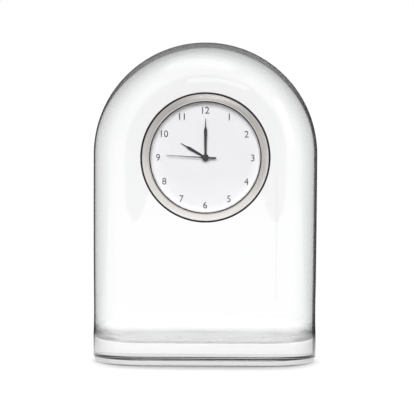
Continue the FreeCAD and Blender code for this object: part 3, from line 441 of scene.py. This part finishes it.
def make_hand_caps():
    """Domed cap of the second hand and the collets of the other two."""
    cap = turn_profile("second_hand_cap", HAND_CAP, SMALL_SIDES)
    dress(cap, "seconds_group", "hand_paint")
    for name, body, bore, back, front in COLLETS:
        edge = (1.5, back)
        profile = [edge, (1.55, back + 0.1), (1.55, front), (bore, front), (bore, back), edge]
        dress(turn_profile(name, profile, SMALL_SIDES), body, "pipe_brass")


# Across and above the dial's axis.
SCREWS = {
    "a": (-11.352, 9.46),
    "b": (11.352, 9.46),
    "c": (-11.352, -18.06),
    "d": (11.352, -18.06),
}
# Each groove of the cross recess: across, front to back and up, and how far back its middle is.
GROOVE = (1.3, 0.5, 0.26)
GROOVE_BEHIND = 0.62
# Radius, and millimetres behind the face that the piece stands on.
SCREW_HEAD = [(1.15, 0.0), (1.15, 0.25), (1.0, 0.5), (0.6, 0.66), (0.0, 0.7)]
BACK_RING = [
    (25.4, -0.05),
    (25.4, 0.35),
    (25.15, 0.5),
    (24.45, 0.5),
    (24.2, 0.35),
    (24.2, -0.05),
    (25.4, -0.05),
]
# Above the hatch's middle, and width; then the height of each grip.
HATCH_GRIPS = {"a": (1.9, 6.4), "b": (0.0, 8.0), "c": (-1.9, 6.4)}
GRIP_HEIGHT = 0.8
KNOB_MARK = (0.6, 2.6)
# Bars: thickness, how far behind the face their middle is, and the rounding of their edges.
BAR_THICKNESS = 0.46
BAR_BEHIND = 0.12
BAR_ROUND = 0.16


def standing_on(face, profile):
    """A profile given behind a face, in millimetres ahead of the vessel's middle."""
    return [(radius, face - behind) for radius, behind in profile]


def make_screw(name, centre):
    """Small pan-head screw with a cross recess in the movement's rear cover."""
    screw = turn_profile(name, standing_on(CASE_BACK, SCREW_HEAD), SCREW_SIDES, centre)
    for turn in (0, math.pi / 2):
        bpy.ops.mesh.primitive_cube_add(
            size=1,
            location=(mm(centre[0]), -mm(CASE_BACK - GROOVE_BEHIND), mm(centre[1])),
            rotation=(0, turn + math.pi / 4, 0),
            scale=tuple(mm(side) for side in GROOVE),
        )
        groove = bpy.context.object
        apply_place(groove)
        cut(screw, groove)
    smooth(screw, CUT_PIECE_ANGLE)
    dress(screw, "clock_insert", "arbor_steel")


def make_bar(name, centre, width, height, body):
    """Low moulded bar standing on a back face, with its centre given as for the faces."""
    across, ahead, above = centre
    bpy.ops.mesh.primitive_cube_add(
        size=1,
        location=(mm(across), -mm(ahead - BAR_BEHIND), mm(DIAL_AXIS + above)),
        scale=(mm(width), mm(BAR_THICKNESS), mm(height)),
    )
    bar = bpy.context.object
    bar.name = name
    apply_place(bar)
    apply_modifier(bar, "BEVEL", width=mm(BAR_ROUND), segments=3)
    smooth(bar)
    dress(bar, body, "black_plastic")


def make_back():
    """What shows from behind: screws, a stiffening ring, the hatch's grip and the knob's mark."""
    for letter, (across, above) in SCREWS.items():
        make_screw("cover_screw_" + letter, (across, DIAL_AXIS + above))
    add_ring("cup_back_ring", standing_on(CUP_BACK, BACK_RING), "black_plastic", RING_SIDES)
    across, ahead, above = HATCH_BACK
    for letter, (rise, width) in HATCH_GRIPS.items():
        centre = (across, ahead, above + rise)
        make_bar("hatch_grip_" + letter, centre, width, GRIP_HEIGHT, "hatch_group")
    make_bar("knob_mark", KNOB_BACK, *KNOB_MARK, "setting_group")


# Nodes


def feed(tree, socket, value):
    """Sets a socket to a plain value, or links another node's output to it."""
    if isinstance(value, bpy.types.NodeSocket):
        tree.links.new(value, socket)
    else:
        socket.default_value = value


def number_node(tree, operation, *values):
    """One step of arithmetic on numbers or on other nodes' outputs."""
    node = tree.nodes.new("ShaderNodeMath")
    node.operation = operation
    for socket, value in zip(node.inputs, values):
        feed(tree, socket, value)
    return node.outputs[0]


def plus(tree, first, second):
    """The sum."""
    return number_node(tree, "ADD", first, second)


def times(tree, first, second):
    """The product."""
    return number_node(tree, "MULTIPLY", first, second)


def larger(tree, first, second):
    """The larger of the two."""
    return number_node(tree, "MAXIMUM", first, second)


def rest_of(tree, value):
    """What is left of one."""
    return number_node(tree, "SUBTRACT", 1.0, value)


def ease(tree, value, low, high, amount):
    """Rises smoothly from nought at low to the amount at high."""
    node = tree.nodes.new("ShaderNodeMapRange")
    node.interpolation_type = "SMOOTHSTEP"
    for label, part in (
        ("Value", value), ("From Min", low), ("From Max", high), ("To Max", amount)
    ):
        feed(tree, node.inputs[label], part)
    return node.outputs["Result"]


def colour_ramp(tree, source, stops, kind="LINEAR"):
    """Maps a number to colours through (position, colour) stops."""
    node = tree.nodes.new("ShaderNodeValToRGB")
    ramp = node.color_ramp
    ramp.interpolation = kind
    for element, (position, colour) in zip(ramp.elements, (stops[0], stops[-1])):
        element.position = position
        element.color = (*colour, 1)
    for position, colour in stops[1:-1]:
        ramp.elements.new(position).color = (*colour, 1)
    tree.links.new(source, node.inputs["Fac"])
    return node.outputs["Color"]


def blend(tree, kind, factor, first, second):
    """Mixes two colours or greys in the way named."""
    node = tree.nodes.new("ShaderNodeMix")
    node.data_type = "RGBA"
    node.blend_type = kind
    for label, value in (("Factor", factor), ("A", first), ("B", second)):
        feed(tree, node.inputs[label], value)
    return node.outputs["Result"]


def noise(tree, where, scale, detail, roughness=0.5):
    """Uneven pattern between nought and one."""
    node = tree.nodes.new("ShaderNodeTexNoise")
    for label, value in (
        ("Vector", where), ("Scale", scale), ("Detail", detail), ("Roughness", roughness)
    ):
        feed(tree, node.inputs[label], value)
    return node.outputs["Fac"]


def length_of(tree, vector):
    """Length of a vector."""
    node = tree.nodes.new("ShaderNodeVectorMath")
    node.operation = "LENGTH"
    tree.links.new(vector, node.inputs[0])
    return node.outputs["Value"]


def place_parts(tree, label="Object"):
    """Coordinates of the piece, or of the sort named: whole, and apart."""
    where = tree.nodes.new("ShaderNodeTexCoord").outputs[label]
    apart = tree.nodes.new("ShaderNodeSeparateXYZ")
    tree.links.new(where, apart.inputs[0])
    return where, apart.outputs


# Shared effects


def node_group(name, numbers, results):
    """An empty shared effect with a Vector input, the named numbers and the named results."""
    tree = bpy.data.node_groups.new(name, "ShaderNodeTree")
    tree.interface.new_socket(name="Vector", in_out="INPUT", socket_type="NodeSocketVector")
    for label, value in numbers.items():
        socket = tree.interface.new_socket(
            name=label, in_out="INPUT", socket_type="NodeSocketFloat"
        )
        socket.default_value = value
    for label in results:
        tree.interface.new_socket(name=label, in_out="OUTPUT", socket_type="NodeSocketFloat")
    start = tree.nodes.new("NodeGroupInput")
    end = tree.nodes.new("NodeGroupOutput")
    return tree, start.outputs, end.inputs


def fine_grain():
    """Height of a fine moulded or cast grain, and a slow patchiness."""
    tree, start, end = node_group(
        "fine_grain", {"Grain Size": 0.3, "Patch Size": 12.0}, ("Height", "Patches")
    )
    for label, result in (("Grain Size", "Height"), ("Patch Size", "Patches")):
        scale = number_node(tree, "DIVIDE", MM_PER_METRE, start[label])
        tree.links.new(noise(tree, start["Vector"], scale, 3.0, 0.55), end[result])
    return tree


def turned_lines():
    """Fine rings about a front-to-back axis, uneven along the radius, as a lathe leaves them."""
    tree, start, end = node_group("turned_lines", {"Line Width": 0.12}, ("Height", "Streaks"))
    apart = tree.nodes.new("ShaderNodeSeparateXYZ")
    tree.links.new(start["Vector"], apart.inputs[0])
    flat = tree.nodes.new("ShaderNodeCombineXYZ")
    for axis in "XZ":
        tree.links.new(apart.outputs[axis], flat.inputs[axis])
    along = tree.nodes.new("ShaderNodeCombineXYZ")
    tree.links.new(length_of(tree, flat.outputs[0]), along.inputs["X"])
    tree.links.new(apart.outputs["Y"], along.inputs["Y"])
    scale = number_node(tree, "DIVIDE", MM_PER_METRE, start["Line Width"])
    tree.links.new(noise(tree, along.outputs[0], scale, 4.0), end["Height"])
    tree.links.new(noise(tree, start["Vector"], 60.0, 2.0), end["Streaks"])
    return tree


GRAIN = fine_grain()
LINES = turned_lines()


def place_effect(tree, effect, numbers, centre=(0, 0, 0)):
    """Puts a shared effect in a material, on the piece's own coordinates."""
    where = tree.nodes.new("ShaderNodeTexCoord")
    shift = tree.nodes.new("ShaderNodeMapping")
    shift.inputs["Location"].default_value = tuple(-part for part in centre)
    tree.links.new(where.outputs["Object"], shift.inputs["Vector"])
    node = tree.nodes.new("ShaderNodeGroup")
    node.node_tree = effect
    for label, value in numbers.items():
        node.inputs[label].default_value = value
    tree.links.new(shift.outputs[0], node.inputs["Vector"])
    return node.outputs


# Finishes

# The part of a pattern's span that colours and roughness follow.
PATTERN_LOW = 0.3
PATTERN_HIGH = 0.7
PATCH_SIZE = 9.0


def finish_base(name, colour, metallic, roughness):
    """A material with one Principled shader and plain constants on its sockets."""
    material = bpy.data.materials.new(name)
    material.use_nodes = True
    sockets = material.node_tree.nodes["Principled BSDF"].inputs
    sockets["Base Color"].default_value = (*colour, 1)
    sockets["Metallic"].default_value = metallic
    sockets["Roughness"].default_value = roughness
    return material, material.node_tree, sockets


def spread(tree, source, low, high):
    """Maps a pattern to a narrow span of values."""
    node = tree.nodes.new("ShaderNodeMapRange")
    for label, value in (
        ("Value", source),
        ("From Min", PATTERN_LOW),
        ("From Max", PATTERN_HIGH),
        ("To Min", low),
        ("To Max", high),
    ):
        feed(tree, node.inputs[label], value)
    return node.outputs["Result"]


def tint(tree, source, dark, light):
    """Colour that drifts between two near shades with a pattern."""
    return colour_ramp(tree, source, [(PATTERN_LOW, dark), (PATTERN_HIGH, light)])


def bump(tree, sockets, height, depth):
    """Feeds a height to the shader's normal, with its real depth in millimetres."""
    node = tree.nodes.new("ShaderNodeBump")
    node.inputs["Strength"].default_value = 1.0
    node.inputs["Distance"].default_value = mm(depth)
    tree.links.new(height, node.inputs["Height"])
    tree.links.new(node.outputs["Normal"], sockets["Normal"])


def moulded(name, dark, light, roughness, grain, depth, metallic=0.0, sheen=0.5):
    """Moulded plastic, rubber, paint or sintered metal with a fine grain."""
    material, tree, sockets = finish_base(name, light, metallic, roughness)
    sockets["Specular IOR Level"].default_value = sheen
    effect = place_effect(tree, GRAIN, {"Grain Size": grain, "Patch Size": PATCH_SIZE})
    patches = effect["Patches"]
    tree.links.new(tint(tree, patches, dark, light), sockets["Base Color"])
    uneven = spread(tree, patches, roughness - 0.05, roughness + 0.06)
    tree.links.new(uneven, sockets["Roughness"])
    bump(tree, sockets, effect["Height"], depth)
    return material


def turned_metal(name, dark, light, roughness, width, depth, centre):
    """Metal with lathe lines about the given axis."""
    material, tree, sockets = finish_base(name, light, 1.0, roughness)
    effect = place_effect(tree, LINES, {"Line Width": width}, centre)
    tree.links.new(tint(tree, effect["Streaks"], dark, light), sockets["Base Color"])
    uneven = spread(tree, effect["Height"], roughness - 0.04, roughness + 0.05)
    tree.links.new(uneven, sockets["Roughness"])
    bump(tree, sockets, effect["Height"], depth)
    return material


def copper_winding():
    """Fine enamelled wire, turn beside turn along the upright bobbin."""
    material, tree, sockets = finish_base("copper_wire", (0.6, 0.24, 0.1), 1.0, 0.3)
    where = tree.nodes.new("ShaderNodeTexCoord")
    turns = tree.nodes.new("ShaderNodeTexWave")
    turns.wave_type = "BANDS"
    turns.bands_direction = "Z"
    turns.inputs["Scale"].default_value = 1600.0
    turns.inputs["Distortion"].default_value = 1.2
    turns.inputs["Detail Scale"].default_value = 2.0
    tree.links.new(where.outputs["Object"], turns.inputs["Vector"])
    wave = turns.outputs["Fac"]
    shades = tint(tree, wave, (0.38, 0.13, 0.05), (0.66, 0.29, 0.13))
    tree.links.new(shades, sockets["Base Color"])
    bump(tree, sockets, wave, 0.03)
    return material


# Bounces after which light counts as thrown about in the glass for long: in mirror images of
# the studio's dark side, and in the glass itself.
SHORT_PATH = 4.5
LONG_PATH = 6.5
GLASS_TINT = (0.992, 0.996, 0.994)


def clear_glass(name, colour, wave, depth):
    """Clear glass that lets the lamps through, with the slow waviness of hand work.

    Light that has been thrown to and fro in the thick base for long leaves it straight on.
    """
    material, tree, sockets = finish_base(name, colour, 0.0, 0.0)
    sockets["Transmission Weight"].default_value = 1.0
    sockets["IOR"].default_value = 1.5
    effect = place_effect(tree, GRAIN, {"Grain Size": wave, "Patch Size": wave * 3})
    bump(tree, sockets, effect["Height"], depth)
    path = tree.nodes.new("ShaderNodeLightPath").outputs
    through = tree.nodes.new("ShaderNodeBsdfTransparent")
    mix = tree.nodes.new("ShaderNodeMixShader")
    long = number_node(tree, "GREATER_THAN", path["Ray Depth"], LONG_PATH)
    tree.links.new(larger(tree, path["Is Shadow Ray"], long), mix.inputs["Fac"])
    tree.links.new(tree.nodes["Principled BSDF"].outputs[0], mix.inputs[1])
    tree.links.new(through.outputs[0], mix.inputs[2])
    tree.links.new(mix.outputs[0], tree.nodes["Material Output"].inputs["Surface"])
    return material


def soften_floor(material):
    """Less even skin low in the hollow, where the thick base begins."""
    tree = material.node_tree
    _, apart = place_parts(tree)
    rough = ease(tree, apart["Z"], mm(28), mm(17), 0.32)
    tree.links.new(rough, tree.nodes["Principled BSDF"].inputs["Roughness"])


# Painted shade of the glass by how far its face turns from the eye, darkest where the eye looks
# along the wall.
PAINTED_EDGE_SHADES = [
    (0.18, GLASS_TINT),
    (0.30, (0.93, 0.94, 0.935)),
    (0.45, (0.78, 0.79, 0.785)),
    (0.55, (0.69, 0.70, 0.695)),
    (0.64, (0.62, 0.63, 0.625)),
    (0.74, (0.46, 0.47, 0.465)),
    (0.785, (0.03, 0.032, 0.031)),
    (0.90, (0.006, 0.0065, 0.006)),
    (1.0, (0.004, 0.0045, 0.004)),
]
# Axis, start and end in millimetres, and how much further on in the painted shade it is by then.
PAINTED_SHADE_SHIFTS = (("Z", 118, 160, 0.2), ("X", 30, 58, 0.1))


def edge_shade(material):
    """Painted shade: darker where the eye looks along the wall, most on the right and over the
    top.
    """
    tree = material.node_tree
    _, apart = place_parts(tree)
    facing = tree.nodes.new("ShaderNodeLayerWeight")
    facing.inputs["Blend"].default_value = 0.5
    total = facing.outputs["Facing"]
    from_middle = number_node(tree, "ABSOLUTE", apart["Y"])
    middle = ease(tree, from_middle, mm(26), mm(14), 1.0)
    # More painted shade towards the top and the right, away from the front and back faces.
    for axis, low, high, amount in PAINTED_SHADE_SHIFTS:
        thick = ease(tree, apart[axis], mm(low), mm(high), amount)
        total = plus(tree, total, times(tree, thick, middle))
    painted_shades = colour_ramp(tree, total, PAINTED_EDGE_SHADES)
    height = apart["Z"]
    # The painted shade never gets quite dark at the crown and the bottom edge, and the base is
    # painted a little greyer.
    crown = ease(tree, height, mm(125), mm(158), 0.12)
    bottom = ease(tree, height, mm(6), mm(3), 0.6)
    lifted = blend(tree, "LIGHTEN", 1.0, painted_shades, plus(tree, crown, bottom))
    base = rest_of(tree, ease(tree, height, mm(14), mm(10), 0.24))
    shaded = blend(tree, "MULTIPLY", 1.0, lifted, base)
    tree.links.new(shaded, tree.nodes["Principled BSDF"].inputs["Base Color"])


# Dark and light shade, roughness, grain size and depth in millimetres, then how metallic it
# is and its sheen where they aren't 0 and 0.5.
MOULDED = {
    "black_rubber": (
        (0.012, 0.009, 0.013), (0.02, 0.015, 0.021), 0.7, 0.25, 0.02, 0.0, 0.15
    ),
    "hand_paint": ((0.01, 0.01, 0.012), (0.016, 0.016, 0.018), 0.5, 0.12, 0.002, 0.0, 0.2),
    "dial_white": ((0.875, 0.868, 0.88), (0.895, 0.89, 0.9), 0.55, 0.18, 0.002),
    "black_plastic": ((0.032, 0.032, 0.035), (0.044, 0.044, 0.048), 0.42, 0.3, 0.012),
    # Lighter copies of black_plastic, painted light for the pieces behind the clock.
    "cover_plastic": ((0.062, 0.062, 0.067), (0.08, 0.08, 0.086), 0.5, 0.5, 0.03),
    "hatch_plastic": ((0.1, 0.1, 0.105), (0.125, 0.125, 0.13), 0.46, 0.4, 0.02),
    "knob_plastic": ((0.27, 0.27, 0.275), (0.34, 0.34, 0.345), 0.45, 0.3, 0.012),
    "wheel_plastic": ((0.78, 0.77, 0.7), (0.86, 0.85, 0.79), 0.42, 0.2, 0.004),
    "bobbin_plastic": ((0.82, 0.79, 0.68), (0.88, 0.85, 0.75), 0.4, 0.2, 0.004),
    "board_green": ((0.02, 0.13, 0.05), (0.035, 0.19, 0.075), 0.3, 0.3, 0.01),
    "magnet_grey": ((0.09, 0.09, 0.095), (0.15, 0.15, 0.155), 0.5, 0.12, 0.01, 0.8),
    "soft_iron": ((0.36, 0.36, 0.38), (0.46, 0.46, 0.48), 0.36, 0.2, 0.004, 1.0),
    "contact_nickel": ((0.66, 0.64, 0.6), (0.76, 0.74, 0.7), 0.2, 0.15, 0.002, 1.0),
}
ON_DIAL_AXIS = (0, 0, mm(DIAL_AXIS))
ON_CELL_AXIS = (mm(HATCH_BACK[0]), 0, mm(DIAL_AXIS + HATCH_BACK[2]))
# Dark and light shade, roughness, width and depth of the lines in millimetres, and their axis.
TURNED = {
    "satin_bezel": (
        (0.75, 0.72, 0.695), (0.83, 0.795, 0.765), 0.27, 0.15, 0.004, ON_DIAL_AXIS
    ),
    "arbor_steel": ((0.5, 0.5, 0.52), (0.62, 0.62, 0.64), 0.28, 0.08, 0.002, ON_DIAL_AXIS),
    "pipe_brass": ((0.66, 0.47, 0.2), (0.78, 0.59, 0.28), 0.26, 0.08, 0.002, ON_DIAL_AXIS),
    "battery_steel": ((0.62, 0.62, 0.64), (0.72, 0.72, 0.74), 0.3, 0.2, 0.003, ON_CELL_AXIS),
}
# Pieces of the same black moulding as the cup, drawn greyer: painted light, so that they show in
# the dim light behind the clock.
PAINTED_LIGHTER_COPIES = {
    "movement_cover": "cover_plastic",
    "battery_hatch": "hatch_plastic",
    "setting_knob": "knob_plastic",
}

FINISHES = {
    "clear_glass": clear_glass("clear_glass", GLASS_TINT, 40.0, 0.006),
    "crystal_glass": clear_glass("crystal_glass", (0.985, 0.985, 0.99), 40.0, 0.01),
    "copper_wire": copper_winding(),
}
for kind, values in MOULDED.items():
    FINISHES[kind] = moulded(kind, *values)
for kind, values in TURNED.items():
    FINISHES[kind] = turned_metal(kind, *values)
soften_floor(FINISHES["clear_glass"])
VESSEL_OUTSIDE = clear_glass("clear_glass_outside", GLASS_TINT, 30.0, 0.02)
edge_shade(VESSEL_OUTSIDE)


def dress_solids():
    """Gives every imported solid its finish."""
    for row in frame["record"]["subparts"]:
        node = frame["nodes"][row["node"]]
        if not node.data.materials:
            node.data.materials.append(None)
        for place in node.material_slots:
            place.material = FINISHES[PAINTED_LIGHTER_COPIES.get(row["node"], row["material_slot"])]


# Camera, floor and light


def make_camera():
    """Level view from straight ahead, at the height of the dial's lower half."""
    data = bpy.data.cameras.new("front_camera")
    data.lens = 121.6
    data.sensor_width = 36
    data.sensor_fit = "HORIZONTAL"
    data.clip_end = 50
    camera = bpy.data.objects.new("front_camera", data)
    camera.location = (0.00118, -0.7285, 0.0792)
    camera.rotation_euler = (math.pi / 2, math.radians(-0.3), 0)
    bpy.context.scene.collection.objects.link(camera)
    bpy.context.scene.camera = camera


def first_mirrors(tree, path):
    """One for a mirror image seen soon, nought for light long thrown about in the glass."""
    soon = number_node(tree, "LESS_THAN", path["Ray Depth"], SHORT_PATH)
    return times(tree, path["Is Reflection Ray"], soon)


# The floor's own white, and how much of it glows by itself near the clock.
FLOOR_WHITE = 0.86
NEAR_LIFT = 0.22
# Reach in millimetres and strength of the painted contact shadow.
TOUCH_REACH = 30
TOUCH_POWER = 1.4


def contact_shadow(tree, across, path):
    """Painted shadow: how dark the floor is where the vessel stands on it, less at its sides."""
    touch = tree.nodes.new("ShaderNodeAmbientOcclusion")
    touch.samples = 12
    touch.inputs["Distance"].default_value = mm(TOUCH_REACH)
    open_sky = number_node(tree, "POWER", touch.outputs["AO"], TOUCH_POWER)
    aside = ease(tree, number_node(tree, "ABSOLUTE", across), mm(40), mm(66), 0.8)
    shadow = times(tree, rest_of(tree, open_sky), rest_of(tree, aside))
    return times(tree, shadow, path["Is Camera Ray"])


def make_floor():
    """White sweep: lit and shadowed near the clock, with a painted contact shadow and painted
    shade behind the clock in mirror images, plain white further off.
    """
    bpy.ops.mesh.primitive_plane_add(size=24, location=(0, 8, mm(-0.02)))
    floor = bpy.context.object
    floor.name = "white_floor"
    apply_place(floor)
    material, tree, sockets = finish_base("white_sweep", (FLOOR_WHITE,) * 3, 0.0, 0.9)
    sockets["Specular IOR Level"].default_value = 0.0
    sockets["Emission Color"].default_value = (1, 1, 1, 1)
    path = tree.nodes.new("ShaderNodeLightPath").outputs
    seen = larger(tree, path["Is Camera Ray"], path["Is Glossy Ray"])
    seen = larger(tree, seen, path["Is Transmission Ray"])
    where, apart = place_parts(tree)
    far = ease(tree, length_of(tree, where), mm(90), mm(240), 1.0)
    # Painted shade: in mirror images seen soon, the floor behind the clock is darker.
    behind = ease(tree, apart["Y"], 0.0, mm(200), 0.95)
    dark = times(tree, behind, first_mirrors(tree, path))
    shadow = contact_shadow(tree, apart["X"], path)
    clear = times(tree, rest_of(tree, shadow), rest_of(tree, dark))
    shade = times(tree, times(tree, rest_of(tree, far), FLOOR_WHITE), clear)
    tree.links.new(shade, sockets["Base Color"])
    lift = plus(tree, NEAR_LIFT, times(tree, far, 1 - NEAR_LIFT))
    lift = times(tree, times(tree, lift, clear), seen)
    tree.links.new(lift, sockets["Emission Strength"])
    floor.data.materials.append(material)


# Greys of the surroundings, as (position, grey). In mirrors: from behind the clock, nought, to
# behind the camera, one; by height; a low band just over the floor, and its share by how far
# ahead it is. Through the glass: by height.
MIRRORED_ROUND = [(0.0, 0.04), (0.45, 0.06), (0.58, 0.74), (0.9, 0.84), (0.97, 0.56), (1.0, 0.3)]
MIRRORED_UP = [(0.1, 1.0), (0.4, 0.64), (0.9, 0.75)]
LOW_BAND = [(0.014, 0.8), (0.03, 0.0)]
LOW_BAND_AHEAD = [(0.4, 0.0), (0.6, 1.0)]
THROUGH_UP = [(0.0, 1.0), (0.1, 0.98), (0.25, 0.95), (0.8, 0.87)]
# Strength of the surroundings as light, and of what is seen of them beyond that.
SKY_LIGHT = 0.35
SKY_SEEN = 0.65


def make_studio():
    """White surroundings with soft darker corners, as a room beyond the white cards."""
    world = bpy.data.worlds.new("studio")
    world.use_nodes = True
    bpy.context.scene.world = world
    tree = world.node_tree
    sky = tree.nodes["Background"].inputs
    _, apart = place_parts(tree, "Generated")

    def greys(value, stops):
        colours = [(position, (grey,) * 3) for position, grey in stops]
        return colour_ramp(tree, value, colours, "EASE")

    ahead = times(tree, apart["Y"], -1.0)
    front = greys(plus(tree, times(tree, ahead, 0.5), 0.5), MIRRORED_ROUND)
    room = blend(tree, "MULTIPLY", 1.0, front, greys(apart["Z"], MIRRORED_UP))
    low_band = greys(apart["Z"], LOW_BAND)
    low_front = blend(tree, "MULTIPLY", 1.0, low_band, greys(ahead, LOW_BAND_AHEAD))
    mirrored = blend(tree, "LIGHTEN", 1.0, room, low_front)
    through = greys(apart["Z"], THROUGH_UP)
    path = tree.nodes.new("ShaderNodeLightPath").outputs
    bent = blend(tree, "MIX", first_mirrors(tree, path), through, mirrored)
    reflected = larger(tree, path["Is Glossy Ray"], path["Is Transmission Ray"])
    tree.links.new(blend(tree, "MIX", reflected, (1, 1, 1, 1), bent), sky["Color"])
    direct = larger(tree, reflected, path["Is Camera Ray"])
    tree.links.new(plus(tree, times(tree, direct, SKY_SEEN), SKY_LIGHT), sky["Strength"])


# Softboxes: angle from the camera's side and turn from straight up in degrees, distance,
# width and height in metres, radiance, and whether their shape is seen in glass and metal.
LAMPS = {
    "front_strip": (37, 10, 0.9, 0.45, 0.065, 1.8, True),
    "right_softbox": (66, 66, 0.9, 0.16, 0.5, 1.7, True),
    "overhead_softbox": (82, -4, 1.1, 0.9, 0.5, 0.8, True),
    "front_fill": (16, -10, 1.6, 1.2, 0.8, 10.2, False),
    "rear_fill": (126, -38, 1.4, 0.5, 0.4, 16.0, False),
    "back_fill": (164, -60, 1.4, 0.5, 0.4, 24.0, False),
}
LAMP_AIM = Vector((0, 0, 0.09))


def make_lamp(name, polar, azimuth, distance, width, height, radiance, mirrored):
    """One softbox of the table, turned towards the clock."""
    tilt, turn = math.radians(polar), math.radians(azimuth)
    toward = Vector(
        (math.sin(turn) * math.sin(tilt), -math.cos(tilt), math.cos(turn) * math.sin(tilt))
    )
    data = bpy.data.lights.new(name, "AREA")
    data.shape = "RECTANGLE"
    data.size = width
    data.size_y = height
    data.energy = radiance * math.pi * width * height
    lamp = bpy.data.objects.new(name, data)
    lamp.location = LAMP_AIM + toward * distance
    lamp.rotation_euler = toward.to_track_quat("Z", "Y").to_euler()
    lamp.visible_camera = False
    lamp.visible_glossy = mirrored
    lamp.visible_transmission = mirrored
    bpy.context.scene.collection.objects.link(lamp)


def make_dark_card():
    """Narrow dark card at the right front that puts one grey streak in the bezel."""
    bpy.ops.mesh.primitive_plane_add(
        size=1, location=(0.19, -0.33, 0.05), rotation=(math.pi / 2, 0, math.radians(28))
    )
    card = bpy.context.object
    card.name = "dark_card"
    bpy.ops.transform.resize(value=(0.035, 0.035, 0.11))
    apply_place(card)
    card.data.materials.append(finish_base("card_black", (0.02, 0.02, 0.02), 0.0, 0.9)[0])
    card.visible_camera = False
    card.visible_diffuse = False
    card.visible_transmission = False
    card.visible_shadow = False


# Putting it together

dress_solids()
start_clean()
make_vessel()
make_bezel()
make_dial_frame()
make_numerals()
make_hand_caps()
make_back()

make_camera()
make_floor()
make_studio()
make_dark_card()
for label, values in LAMPS.items():
    make_lamp(label, *values)

LIGHT_BOUNCES = 24
scene = bpy.context.scene
scene.view_settings.view_transform = "Standard"
scene.cycles.max_bounces = LIGHT_BOUNCES
scene.cycles.transmission_bounces = LIGHT_BOUNCES
scene.cycles.transparent_max_bounces = LIGHT_BOUNCES
scene.cycles.caustics_reflective = False
scene.cycles.caustics_refractive = False
